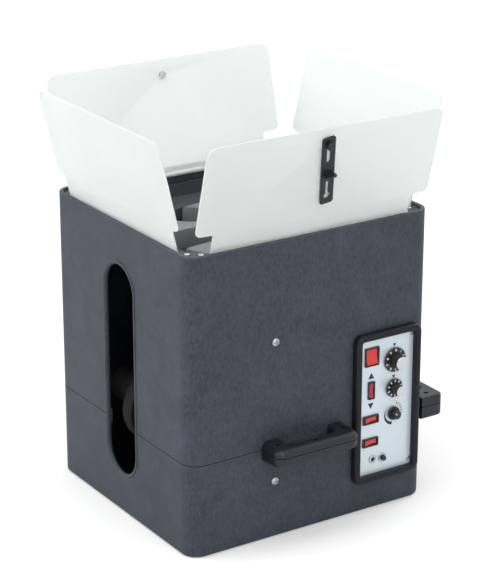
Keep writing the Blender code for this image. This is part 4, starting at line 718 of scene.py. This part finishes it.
def make_brushed():
    """Fine lines in one direction, in colour, gloss and relief, on a vector that the material stretches."""
    tree, given = new_group(
        "brushed",
        {"Vector": "Vector", "Color": "Color", "Roughness": 0.3, "Contrast": 0.2, "Relief": 0.1},
        {"Color": "Color", "Roughness": "Float", "Normal": "Vector"},
    )
    lines = node(tree, "ShaderNodeTexNoise", Vector=given["Vector"], Scale=60.0, Detail=6.0, Roughness=0.7)
    tone = node(tree, "ShaderNodeMapRange", Value=lines.outputs["Fac"], From_Min=0.3, From_Max=0.7)
    spread = reckon(tree, "MULTIPLY", tone.outputs["Result"], given["Contrast"])
    dark = reckon(tree, "SUBTRACT", 1, spread)
    tinted = node(tree, "ShaderNodeVectorMath", given["Color"], Scale=dark, operation="SCALE")
    rough = reckon(tree, "ADD", given["Roughness"], spread, use_clamp=True)
    relief = node(
        tree, "ShaderNodeBump", Strength=given["Relief"], Distance=0.0002, Height=lines.outputs["Fac"]
    )
    node(tree, "NodeGroupOutput", Color=tinted.outputs[0], Roughness=rough, Normal=relief.outputs[0])
    return tree


brushed = make_brushed()


def metal(name, colour, roughness, stretch, contrast=0.2, relief=0.1, metallic=1.0):
    """A metal with brush or machining lines. The stretch is small along the lines and large across them."""
    finish = bpy.data.materials.new(name)
    finish.use_nodes = True
    tree = finish.node_tree
    place = node(tree, "ShaderNodeTexCoord").outputs["Object"]
    stretched = node(tree, "ShaderNodeMapping", Vector=place, Scale=stretch).outputs[0]
    surface = node(
        tree, "ShaderNodeGroup", node_tree=brushed, Vector=stretched, Color=(*colour, 1), Roughness=roughness,
        Contrast=contrast, Relief=relief,
    )  # fmt: skip
    feed(
        shader_of(finish), Base_Color=surface.outputs["Color"], Roughness=surface.outputs["Roughness"],
        Normal=surface.outputs["Normal"], Metallic=metallic,
    )  # fmt: skip
    return finish


zinc_finish = metal("zinc_plate", ZINC, 0.2, stretch=(9, 9, 9), contrast=0.3)


def turned(profile, steps, closed=False):
    """A skin turned about Z from (radius, height) points, from axis to axis, or closed on itself."""
    shape = bmesh.new()
    points = [shape.verts.new((radius, 0, height)) for radius, height in profile]
    ends = points[1:] + points[:1] if closed else points[1:]
    edges = [shape.edges.new(pair) for pair in zip(points, ends)]
    bmesh.ops.spin(
        shape, geom=points + edges, cent=(0, 0, 0), axis=Z, angle=2 * math.pi, steps=steps, use_merge=True
    )
    bmesh.ops.remove_doubles(shape, verts=shape.verts, dist=TOUCHING)
    bmesh.ops.recalc_face_normals(shape, faces=shape.faces)
    return shape


def moved(shape, matrix):
    """Moves and turns a bmesh."""
    bmesh.ops.transform(shape, verts=shape.verts, matrix=matrix)
    return shape


def aimed(shape, place, axis):
    """Turns a shape made about Z to an axis, and puts it in its place."""
    turn = Z.rotation_difference(Vector(axis)).to_matrix().to_4x4()
    return moved(shape, Matrix.Translation(place) @ turn)


def pan_head(radius):
    """A pan head with its cross recess, facing +Z."""
    rim = HEAD_HEIGHT * radius
    head = turned([(across * radius, up * rim) for across, up in HEAD_OUTLINE], steps=32)
    arm, thin, depth = CROSS_ARM * radius, CROSS_HALF * radius, CROSS_DEPTH * rim
    level = block((-arm, -thin, rim - depth), (arm, thin, rim + depth))
    upright = block((-thin, -arm, rim - depth), (thin, arm, rim + depth))
    return carved(head, level, upright)


def screws(name, radius, places, axis):
    """Several equal screws as one piece."""
    heads = [aimed(pan_head(radius), place, axis) for place in places]
    return dress(solid(name, merge(*heads)), "housing", zinc_finish, "zinc_steel")


joints = {joint["name"]: joint for joint in frame["joints"]}
pivot = Vector(joints["head_tilt"]["pos_m"])
for name, sign in (("right", 1), ("left", -1)):
    places = [Vector((sign * side, pivot.y + SCREW_BEHIND, pivot.z + rise)) for rise in SCREWS_FROM_PIVOT]
    screws(f"{name}_case_screws", SIDE_SCREW, places, X * sign)

# Control frame and panel
# A thick black moulded surround screwed to the case, and inside it a brushed aluminium panel.
# The panel's printing is black: arrows at the elevation switch and marks at the knobs.

FRAME_RING = 0.0105
FRAME_CORNER = 0.014
FRAME_OUTER_EDGE = 0.0045
FRAME_INNER_EDGE = 0.002
FRAME_STEPS = 10
PANEL_BLUE = (0.70, 0.79, 0.87)
PANEL_SCREW = 0.0034
PANEL_SCREW_Y, PANEL_SCREWS_Z = 0.1845, (0.2835, 0.0718)
PRINT = 0.00008
ARROW = 0.0112
SMALL_ARROW = 0.0062
ARROW_TIP = 0.45
SWITCH_Y = 0.1093
KNOB_Y = 0.1525
UP_ARROW_Z, DOWN_ARROW_Z = 0.2288, 0.1778
KNOB_ARROWS = (0.2708, 0.2181)
TICKS = range(-40, 80, 15)
TICK_IN, TICK_OUT, TICK_WIDTH = 0.0145, 0.0190, 0.0013
WEDGE_STEPS, WEDGE_START, WEDGE_TURN = 14, 150, 8.5
WEDGE_OUT, WEDGE_GROWTH, WEDGE_WIDTH = 0.0152, 0.00036, 0.0026

TO_SIDE = Matrix((Y, Z, X)).transposed().to_4x4()
# The surround's paler edges are partly wear and partly a painted highlight on its rounded edges.
frame_finish = plastic(
    "frame_black", (0.0095, 0.0115, 0.0165), 0.36, clouds=0.3, streaks=0.3, grain=1500.0, relief=0.15,
    wear_and_highlight=(0.024, 0.028, 0.037), gloss=0.22,
)  # fmt: skip
panel_finish = metal(
    "panel_brushed", PANEL_BLUE, 0.34, stretch=(1, 0.25, 14), contrast=0.08, relief=0.05, metallic=0.35
)
print_finish = plastic("print_black", (0.012, 0.013, 0.016), 0.5, clouds=0.1, streaks=0.1)

low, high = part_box("control_frame")
width, height, depth = high.y - low.y, high.z - low.z, high.x - low.x
shape = bmesh.new()
bmesh.ops.create_grid(
    shape, x_segments=1, y_segments=1, size=0.5, matrix=Matrix.Diagonal((width, height, 1, 1))
)
bmesh.ops.bevel(
    shape, geom=shape.verts[:], offset=FRAME_CORNER, affect="VERTICES", segments=FRAME_STEPS, profile=0.5,
    material=-1,
)  # fmt: skip
open_middle(shape, FRAME_RING)
thicken(shape, (0, 0, depth))
hole = (width / 2 - FRAME_RING + CLOSE, height / 2 - FRAME_RING + CLOSE)
front = rims(shape, Z, depth)
inner = [e for e in front if all(abs(v.co.x) < hole[0] and abs(v.co.y) < hole[1] for v in e.verts)]
soften(shape, [e for e in front if e not in inner], FRAME_OUTER_EDGE, 6, clamped=False)
soften(shape, [e for e in inner if e.is_valid], FRAME_INNER_EDGE, 4, clamped=False)
place = Matrix.Translation((low.x, (low.y + high.y) / 2, (low.z + high.z) / 2)) @ TO_SIDE
framed = solid("control_surround", moved(shape, place))
dress(framed, "housing", frame_finish, "frame_plastic", "control_frame")

panel_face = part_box("control_panel")[1].x
panel_mesh = frame["nodes"]["control_panel"].data
panel_mesh.materials.clear()
panel_mesh.materials.append(panel_finish)


def arrow(y, z, size, up):
    """A printed triangle on the panel."""
    shape = bmesh.new()
    tip = size * ARROW_TIP * (1 if up else -1)
    corners = ((-size / 2, -tip), (size / 2, -tip), (0, tip))
    shape.faces.new([shape.verts.new((a, b, 0)) for a, b in corners])
    thicken(shape, (0, 0, PRINT))
    return moved(shape, Matrix.Translation((panel_face, y, z)) @ TO_SIDE)


spin_low, spin_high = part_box("spin_knob")
spin_place = Matrix.Translation((panel_face, KNOB_Y, (spin_low.z + spin_high.z) / 2)) @ TO_SIDE


def tick(degrees, outer, width):
    """A printed line that points away from the small knob's middle."""
    shape = block((TICK_IN, -width / 2, 0), (outer, width / 2, PRINT))
    return moved(shape, spin_place @ Matrix.Rotation(math.radians(degrees), 4, "Z"))


printing = [arrow(SWITCH_Y, UP_ARROW_Z, ARROW, True), arrow(SWITCH_Y, DOWN_ARROW_Z, ARROW, False)]
printing += [arrow(KNOB_Y, z, SMALL_ARROW, False) for z in KNOB_ARROWS]
printing += [tick(degrees, TICK_OUT, TICK_WIDTH) for degrees in TICKS]
for i in range(WEDGE_STEPS):
    printing.append(tick(WEDGE_START + WEDGE_TURN * i, WEDGE_OUT + WEDGE_GROWTH * i, WEDGE_WIDTH))
dress(solid("panel_printing", merge(*printing)), "housing", print_finish, "black_plastic")
screws("panel_screws", PANEL_SCREW, [(panel_face, PANEL_SCREW_Y, z) for z in PANEL_SCREWS_Z], X)

# Rocker switches
# Red rockers on a pivot in black snap-in bezels, moulded in glossy plastic.
# The elevation switch springs back to its middle and is a darker red.

BEZEL_EDGE, ROCKER_EDGE = 0.00035, 0.0005
FLAT, CREASE = math.radians(0.5), math.radians(25)


def finer(name, cad_node, width, segments=3):
    """A merged copy of a CAD node with its sharp edges rounded."""
    shape = bmesh.new()
    shape.from_mesh(frame["nodes"][cad_node].data)
    bmesh.ops.remove_doubles(shape, verts=shape.verts, dist=CLOSE)
    bmesh.ops.dissolve_limit(shape, angle_limit=FLAT, verts=shape.verts, edges=shape.edges)
    soften(shape, [e for e in shape.edges if e.is_manifold and e.calc_face_angle() > CREASE], width, segments)
    return solid(name, shape)


bezel_finish = plastic("bezel_black", (0.012, 0.012, 0.014), 0.32, clouds=0.1, streaks=0.1, relief=0.05)
red_finish = plastic("rocker_red", (0.72, 0.036, 0.024), 0.24, clouds=0.1, streaks=0.05, relief=0.03)
dark_finish = plastic("rocker_dark_red", (0.36, 0.022, 0.04), 0.26, clouds=0.1, streaks=0.05, relief=0.03)
for name in ("power", "elevation", "remote", "oscillator"):
    bezel = finer(f"{name}_switch_bezel", f"{name}_bezel", BEZEL_EDGE)
    dress(bezel, "housing", bezel_finish, "black_plastic", f"{name}_bezel")
    rocker = finer(f"{name}_switch_rocker", f"{name}_rocker", ROCKER_EDGE)
    finish = dark_finish if name == "elevation" else red_finish
    slot = "dark_red_plastic" if name == "elevation" else "red_plastic"
    dress(rocker, f"{name}_rocker", finish, slot, f"{name}_rocker")

# Knobs
# Black knobs on potentiometer shafts. Each has a skirt and a fluted grip. The two large ones have white marks
# on the skirt and a spun aluminium cap, and the small one has a pointer line on its top.

FLUTES = 20
FLUTE_DEPTH = 0.05
FLUTED = 0.7
SKIRT = 0.0025
KNOB_GAP = 0.002
CAP_RADIUS = {"speed": 0.0108, "feed": 0.0088}
CAP_RISE = 0.0004
CAP_RING = (0.78, 0.86, 0.94, 0.98)
GRIP_SHARE, SMALL_GRIP_SHARE, GRIP_TAPER = 0.62, 0.72, 0.86
KNOB_EDGE = 0.0007
NUMERAL = 0.0064
NUMERAL_WEIGHT = 0.00014
MARKS = 10
MARK_REACH, MARK_HALF = 0.0021, 0.0009
POINTER_TURN = 2.4
POINTER_IN, POINTER_OUT, POINTER_HALF = 0.15, 0.85, 0.0005

knob_finish = plastic("knob_black", (0.012, 0.012, 0.014), 0.36, clouds=0.1, streaks=0.1, relief=0.06)
mark_finish = plastic("mark_white", (0.82, 0.82, 0.80), 0.45, clouds=0.05, streaks=0.05)
cap_finish = metal("cap_spun", (0.74, 0.76, 0.79), 0.18, stretch=(8, 8, 8), contrast=0.3)


def printed(words, size):
    """Flat raised lettering about its own middle, facing +Z."""
    text = bpy.data.curves.new("numeral", "FONT")
    text.body = words
    text.size = size
    text.align_x, text.align_y = "CENTER", "CENTER"
    text.extrude = PRINT / 2
    text.offset = NUMERAL_WEIGHT
    holder = bpy.data.objects.new("numeral", text)
    bpy.context.scene.collection.objects.link(holder)
    mesh = settled(holder)
    bpy.data.objects.remove(holder)
    shape = bmesh.new()
    shape.from_mesh(mesh)
    bmesh.ops.remove_doubles(shape, verts=shape.verts, dist=TOUCHING)
    return shape


for name in ("speed", "feed", "spin"):
    cap = CAP_RADIUS.get(name)
    low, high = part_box(f"{name}_knob")
    y, z, skirt = (low.y + high.y) / 2, (low.z + high.z) / 2, (high.z - low.z) / 2
    seat = panel_face + KNOB_GAP
    place = Matrix.Translation((seat, y, z)) @ TO_SIDE
    tall = high.x - seat
    grip = skirt * (GRIP_SHARE if cap else SMALL_GRIP_SHARE)
    edge, foot, top = KNOB_EDGE, SKIRT - KNOB_EDGE, grip * GRIP_TAPER
    base = turned([(0, SKIRT), (skirt - edge, SKIRT), (skirt, foot), (skirt, 0), (0, 0)], steps=64)
    body = turned([(0, tall), (top - edge, tall), (top, tall - edge), (grip, foot), (0, foot)], steps=160)
    for v in body.verts:
        if math.hypot(v.co.x, v.co.y) > FLUTED * grip:
            wave = 0.5 + 0.5 * math.cos(FLUTES * math.atan2(v.co.y, v.co.x))
            v.co.xy *= 1 - FLUTE_DEPTH * (1 - wave) ** 2
    made = solid(f"{name}_knob_body", moved(merge(base, body), place))
    dress(made, f"{name}_knob", knob_finish, "black_plastic", f"{name}_knob")
    on_top = place @ Matrix.Translation((0, 0, tall))
    marks = []
    if cap:
        dish, rise, fall, rim = (share * cap for share in CAP_RING)
        profile = [(0, CAP_RISE / 2), (dish, CAP_RISE / 2), (rise, CAP_RISE), (fall, CAP_RISE)]
        disc = turned(profile + [(rim, 0), (0, -CAP_RISE / 2)], steps=64)
        dress(solid(f"{name}_knob_cap", moved(disc, on_top)), f"{name}_knob", cap_finish, "zinc_steel")
        middle = (grip + skirt) / 2
        for i in range(MARKS):
            turn = Matrix.Rotation(math.radians(90 - 360 / MARKS * i), 4, "Z")
            spoke = place @ turn @ Matrix.Translation((middle, 0, SKIRT))
            if name == "speed":
                mark = printed(str(i), NUMERAL)
                spoke = spoke @ Matrix.Rotation(-math.pi / 2, 4, "Z")
            else:
                mark = block((-MARK_REACH, -MARK_HALF, 0), (MARK_REACH, MARK_HALF, PRINT))
            marks.append(moved(mark, spoke))
    else:
        pointer = block((POINTER_IN * grip, -POINTER_HALF, 0), (POINTER_OUT * grip, POINTER_HALF, PRINT))
        marks.append(moved(pointer, on_top @ Matrix.Rotation(POINTER_TURN, 4, "Z")))
    dress(solid(f"{name}_knob_marks", merge(*marks)), f"{name}_knob", mark_finish, "black_plastic")

# Charge socket and reset breaker
# A round metal socket and a thermal breaker with a push button, each held in the panel by its threaded ring.

BUTTON_EDGE, METAL_EDGE = 0.0005, 0.0003

packed = frame["record"]["behaviour"]["bodies"]
bodies = {member: body for body, members in packed.items() for member in members}


def refine(cad_node, finish, slot, width, segments=3):
    """A finer piece that stands for one CAD node and rides on its body."""
    piece = finer(f"fine_{cad_node}", cad_node, width, segments)
    return dress(piece, bodies[cad_node], finish, slot, cad_node)


refine("charge_socket", zinc_finish, "zinc_steel", METAL_EDGE)
refine("reset_breaker", zinc_finish, "zinc_steel", METAL_EDGE)
refine("reset_button", knob_finish, "black_plastic", BUTTON_EDGE)

# Hopper liner
# A black moulded tray that drops into the rim. Its ramps lead down to the feed rotor, its four corner posts
# carry the hinge rods, and screws in its flange hold it down.

LINER_SCREW = 0.0042
LINER_SCREWS = ((0.168, 0.200), (0.181, 0.184))
LINER_EDGE = 0.0012
QUARTERS = ((1, 1), (1, -1), (-1, 1), (-1, -1))

liner_finish = plastic(
    "liner_black", (0.034, 0.037, 0.042), 0.5, clouds=0.4, streaks=0.4, relief=0.25, gloss=0.35
)
liner = refine("hopper_liner", liner_finish, "liner_plastic", LINER_EDGE)
bpy.context.view_layer.update()
places = []
for x, y in LINER_SCREWS:
    places += [liner.ray_cast((along * x, over * y, 1), -Z)[1] for along, over in QUARTERS]
screws("liner_screws", LINER_SCREW, places, Z)
for name in ("right", "left", "front", "rear"):
    refine(f"{name}_hinge_rod", zinc_finish, "zinc_steel", METAL_EDGE)

# Hopper panels
# Four sheets of translucent white plastic that stand on hinge rods and lean outwards. Their upper corners are
# rounded, and each folds inwards on its rod when the machine is carried.

SHEET_WHITE = (0.94, 0.97, 0.955)
SHEET_EDGE = 0.0006
SHEET_CLEARNESS = 0.6
SHEET_IOR = 1.45

sheet_finish = plastic(
    "hopper_sheet", SHEET_WHITE, 0.55, clouds=0.03, streaks=0.02, grain=1800.0, relief=0.08
)
feed(shader_of(sheet_finish), Transmission_Weight=SHEET_CLEARNESS, IOR=SHEET_IOR)
for name in ("right", "left", "front", "rear"):
    refine(f"{name}_panel", sheet_finish, "hopper_sheet", SHEET_EDGE)
refine("keeper_stud", zinc_finish, "zinc_steel", METAL_EDGE)

# Latch
# A black strip hangs on a knob on the right panel. Folded over, its keyhole takes the bolt of the left panel
# and holds the hopper shut.

STRIP_WIDTH = 0.023
STRIP_THICKNESS = 0.0025
STRIP_LEVEL = 0.0045
STRIP_ABOVE, STRIP_BELOW = 0.013, 0.102
STRIP_HANG = math.radians(7.9)
STRIP_CORNER = 0.005
STRIP_EDGE = 0.0005
STUD_EDGE = 0.0004
STUD_SLOT, STUD_TRAVEL = 0.0066, 0.0264
KEYHOLE, KEYHOLE_BELOW = 0.0052, 0.088
NECK, NECK_BELOW = 0.0052, 0.062
TAB_WIDTH, TAB_THICKNESS, TAB_REACH, TAB_BELOW = 0.021, 0.003, 0.012, 0.051
TAB_CORNER, TAB_EDGE = 0.003, 0.0006
CUT_DEPTH = 0.02

latch_finish = plastic(
    "latch_black", (0.014, 0.0155, 0.019), 0.38, clouds=0.2, streaks=0.2, relief=0.15,
    wear_and_highlight=(0.03, 0.033, 0.04), gloss=0.35,
)  # fmt: skip
refine("latch_stud", latch_finish, "black_plastic", STUD_EDGE)


def upright_hole(width, top, bottom):
    """A round-ended slot's cutter, upright in a strip's plane."""
    middle = (top + bottom) / 2
    shape = pin(width / 2, CUT_DEPTH, (0, middle, 0), steps=32)
    stretch = (top - bottom - width) / 2
    for v in shape.verts:
        rise = v.co.y - middle
        v.co.y += stretch if rise > TOUCHING else -stretch if rise < -TOUCHING else 0
    return shape


half, face = STRIP_WIDTH / 2, STRIP_THICKNESS / 2
strip = carved(
    rounded_block((-half, -STRIP_BELOW, -face), (half, STRIP_ABOVE, face), STRIP_CORNER),
    upright_hole(STUD_SLOT, STUD_SLOT / 2, STUD_SLOT / 2 - STUD_SLOT - STUD_TRAVEL),
    upright_hole(2 * KEYHOLE, KEYHOLE - KEYHOLE_BELOW, -KEYHOLE - KEYHOLE_BELOW),
    upright_hole(NECK, -NECK_BELOW, -KEYHOLE_BELOW),
)
for level in (-face, face):
    soften(strip, rims(strip, Z, level), STRIP_EDGE, 3)
tab = block((-TAB_WIDTH / 2, -TAB_THICKNESS / 2, 0), (TAB_WIDTH / 2, TAB_THICKNESS / 2, TAB_REACH))
soften(tab, [e for e in running(tab, Y) if e.verts[0].co.z > 0], TAB_CORNER, 6)
soften(tab, rims(tab, Y, TAB_THICKNESS / 2) + rims(tab, Y, -TAB_THICKNESS / 2), TAB_EDGE, 3)
bmesh.ops.translate(tab, verts=tab.verts, vec=(0, -TAB_BELOW, 0))
latch_axis = Vector(joints["latch_swing"]["axis"]).normalized()
level_place = Vector(joints["latch_swing"]["pos_m"]) + latch_axis * STRIP_LEVEL
facing = Matrix((Y, latch_axis.cross(Y), latch_axis)).transposed().to_4x4()
place = Matrix.Translation(level_place) @ facing @ Matrix.Rotation(STRIP_HANG, 4, "Z")
made = solid("latch_strip_plate", moved(merge(strip, tab), place))
dress(made, "latch_strip", latch_finish, "black_plastic", "latch_strip")

# Feed rotor
# A grey wheel at the bottom of the hopper. A gearmotor below the liner turns it, and the pockets in its rim
# pass over the hole that leads to the chute.

POCKETS = 6
POCKET_RADIUS = 0.036
POCKET_PITCH = 0.100
POCKET_DEPTH = 0.08
ROTOR_HEIGHT = 0.028
ROTOR_SHAFT = 0.006
ROTOR_EDGE = 0.0022
ROTOR_BAND = 0.006
ROTOR_CREASE = 0.7
HUB_DROPS = ((0.06, 0), (0.10, 0.0005), (0.14, 0.0016), (0.2, 0.003))
SLOPE_RISES = ((0.35, 0.0075), (0.5, 0.0046), (0.75, 0.0021))
RIM_ROUNDNESS, RIM_BEND = 0.004, 0.0012
CHUTE_EDGE, FEED_MOTOR_EDGE = 0.0006, 0.0008

rotor_finish = plastic("rotor_grey", (0.17, 0.18, 0.185), 0.45, clouds=0.1, streaks=0.1, relief=0.15)
low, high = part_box("feed_rotor")
radius = (high.x - low.x) / 2
middle = Vector(joints["feed_turn"]["pos_m"])
bottom = middle.z
edge, crown = bottom + ROTOR_HEIGHT, high.z
profile = [(0, crown)] + [(share * radius, crown - drop) for share, drop in HUB_DROPS]
profile += [(share * radius, edge + rise) for share, rise in SLOPE_RISES]
profile += [(radius - RIM_ROUNDNESS, edge), (radius - RIM_BEND, edge - RIM_BEND)]
profile += [(radius, edge - RIM_ROUNDNESS), (radius, bottom)]
profile += [(ROTOR_SHAFT, bottom), (ROTOR_SHAFT, low.z), (0, low.z)]
wheel = turned(profile, steps=96)
bmesh.ops.translate(wheel, verts=wheel.verts, vec=(middle.x, middle.y, 0))
pockets = []
for i in range(POCKETS):
    turn = Matrix.Rotation(math.pi / 2 + 2 * math.pi * i / POCKETS, 4, "Z")
    pocket = pin(POCKET_RADIUS, POCKET_DEPTH, (POCKET_PITCH, 0, 0), steps=64)
    outer_half = [v for v in pocket.verts if v.co.x > POCKET_PITCH + TOUCHING]
    bmesh.ops.translate(pocket, verts=outer_half, vec=(POCKET_RADIUS, 0, 0))
    pockets.append(moved(pocket, Matrix.Translation((middle.x, middle.y, edge)) @ turn))
shape = carved(wheel, *pockets)
creases = [e for e in shape.edges if e.is_manifold and e.calc_face_angle() > ROTOR_CREASE]
upper = [e for e in creases if all(v.co.z > edge - ROTOR_BAND for v in e.verts)]
soften(shape, upper, ROTOR_EDGE, 3)
dress(solid("feed_rotor_wheel", shape), "feed_rotor", rotor_finish, "rotor_plastic", "feed_rotor")
chute_finish = plastic("chute_black", (0.018, 0.018, 0.02), 0.4, clouds=0.15, streaks=0.15, relief=0.12)
refine("ball_chute", chute_finish, "black_plastic", CHUTE_EDGE)
gearbox_finish = plastic("gearbox_grey", (0.10, 0.105, 0.11), 0.45, clouds=0.15, streaks=0.1, relief=0.15)
refine("feed_motor", gearbox_finish, "grey_plastic", FEED_MOTOR_EDGE)

# Throwing head
# Two black steel plates with a folded tie between them hang on pins in the side frames. Each of the two
# wheels, an aluminium rim with a rubber tyre, sits on the shaft of its own motor.

WHEEL_RADIUS = 0.060
RIM_RADIUS = 0.050
TYRE_HALF = 0.013
SHOULDER = ((0.0035, 0), (0.0016, 0.0006), (0.0005, 0.0018), (0, 0.0035))
GROOVES = (0.0065, 0, -0.0065)
GROOVE_OUTLINE = ((0, 0.0007), (-0.0012, 0.0005), (-0.0012, -0.0005), (0, -0.0007))
AXLE = 0.005
HUB_RADIUS, HUB_HALF = 0.014, 0.023
WEB_HALF, FLANGE, CHAMFER = 0.007, 0.004, 0.001
PLATE_EDGE, CAN_EDGE, ROLLER_EDGE = 0.0005, 0.0006, 0.001

black_steel_finish = plastic(
    "black_steel", (0.022, 0.022, 0.024), 0.4, clouds=0.15, streaks=0.1, grain=2200.0, relief=0.1,
    wear_and_highlight=(0.10, 0.10, 0.105),
)  # fmt: skip
motor_finish = metal("motor_dark", (0.16, 0.16, 0.17), 0.4, stretch=(1, 8, 8), metallic=0.6)
rubber_finish = plastic(
    "wheel_rubber", (0.012, 0.012, 0.013), 0.8, clouds=0.3, streaks=0.3, relief=0.4, gloss=0.2
)
rim_finish = metal("cast_rim", (0.22, 0.225, 0.235), 0.42, stretch=(6, 6, 6), metallic=0.8)
for name in ("plate_left", "plate_right", "crossmember"):
    refine(f"head_{name}", black_steel_finish, "black_steel", PLATE_EDGE)
for name in ("left", "right"):
    refine(f"side_frame_{name}", black_steel_finish, "black_steel", PLATE_EDGE)
for name in ("upper_motor", "lower_motor", "elevation_motor", "oscillator_motor"):
    refine(name, motor_finish, "motor_steel", CAN_EDGE)


def mirrored(points):
    """The same (radius, height) points below the middle, from last to first."""
    return [(radius, -height) for radius, height in reversed(points)]


for name in ("upper_wheel", "lower_wheel"):
    centre = Vector(joints[f"{name}_spin"]["pos_m"])
    axle_low, axle_high = (corner.x - centre.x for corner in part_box(name))
    wall, flange = TYRE_HALF - CHAMFER, RIM_RADIUS - FLANGE
    half = [(RIM_RADIUS, wall)] + [(WHEEL_RADIUS - down, TYRE_HALF - back) for down, back in SHOULDER]
    grooves = [(WHEEL_RADIUS + drop, groove + step) for groove in GROOVES for drop, step in GROOVE_OUTLINE]
    tyre = turned(half + grooves + mirrored(half), steps=96, closed=True)
    dress(solid(f"{name}_tyre", aimed(tyre, centre, X)), name, rubber_finish, "wheel_rubber", name)
    half = [(AXLE, HUB_HALF), (HUB_RADIUS - CHAMFER, HUB_HALF), (HUB_RADIUS, HUB_HALF - CHAMFER)]
    half += [(HUB_RADIUS, WEB_HALF), (flange, WEB_HALF), (flange, wall - CHAMFER), (flange + CHAMFER, wall)]
    half.append((RIM_RADIUS, wall))
    profile = [(0, axle_high), (AXLE, axle_high)] + half + mirrored(half) + [(AXLE, axle_low), (0, axle_low)]
    rim = aimed(turned(profile, steps=64), centre, X)
    dress(solid(f"{name}_rim", rim), name, rim_finish, "motor_steel")
refine("oscillator_wheel", rubber_finish, "wheel_rubber", ROLLER_EDGE)
for name in ("left", "right"):
    refine(f"pivot_pin_{name}", zinc_finish, "zinc_steel", PLATE_EDGE)

# Elevation drive
# A toothed steel sector on the right head plate, turned by a brass pinion on a gearmotor.

TOOTH_EDGE = 0.0002

brass_finish = metal("brass", (0.72, 0.53, 0.22), 0.3, stretch=(8, 8, 8))
refine("sector_gear", zinc_finish, "zinc_steel", TOOTH_EDGE, segments=2)
refine("elevation_pinion", brass_finish, "brass", TOOTH_EDGE, segments=2)

# Battery and electrics
# A sealed battery stands on the floor of the case, and the circuit board sits behind the panel with the
# knobs' potentiometers.

BATTERY_EDGE, BOARD_EDGE, POTENTIOMETER_EDGE = 0.0015, 0.0002, 0.0004

battery_finish = plastic("battery_grey", (0.12, 0.125, 0.13), 0.45, clouds=0.2, streaks=0.1, relief=0.15)
board_finish = plastic("board_green", (0.022, 0.14, 0.06), 0.35, clouds=0.3, streaks=0.2, relief=0.1)
refine("battery", battery_finish, "grey_plastic", BATTERY_EDGE)
refine("circuit_board", board_finish, "board_green", BOARD_EDGE)
for name in ("speed", "feed", "spin"):
    refine(f"{name}_potentiometer", gearbox_finish, "grey_plastic", POTENTIOMETER_EDGE)
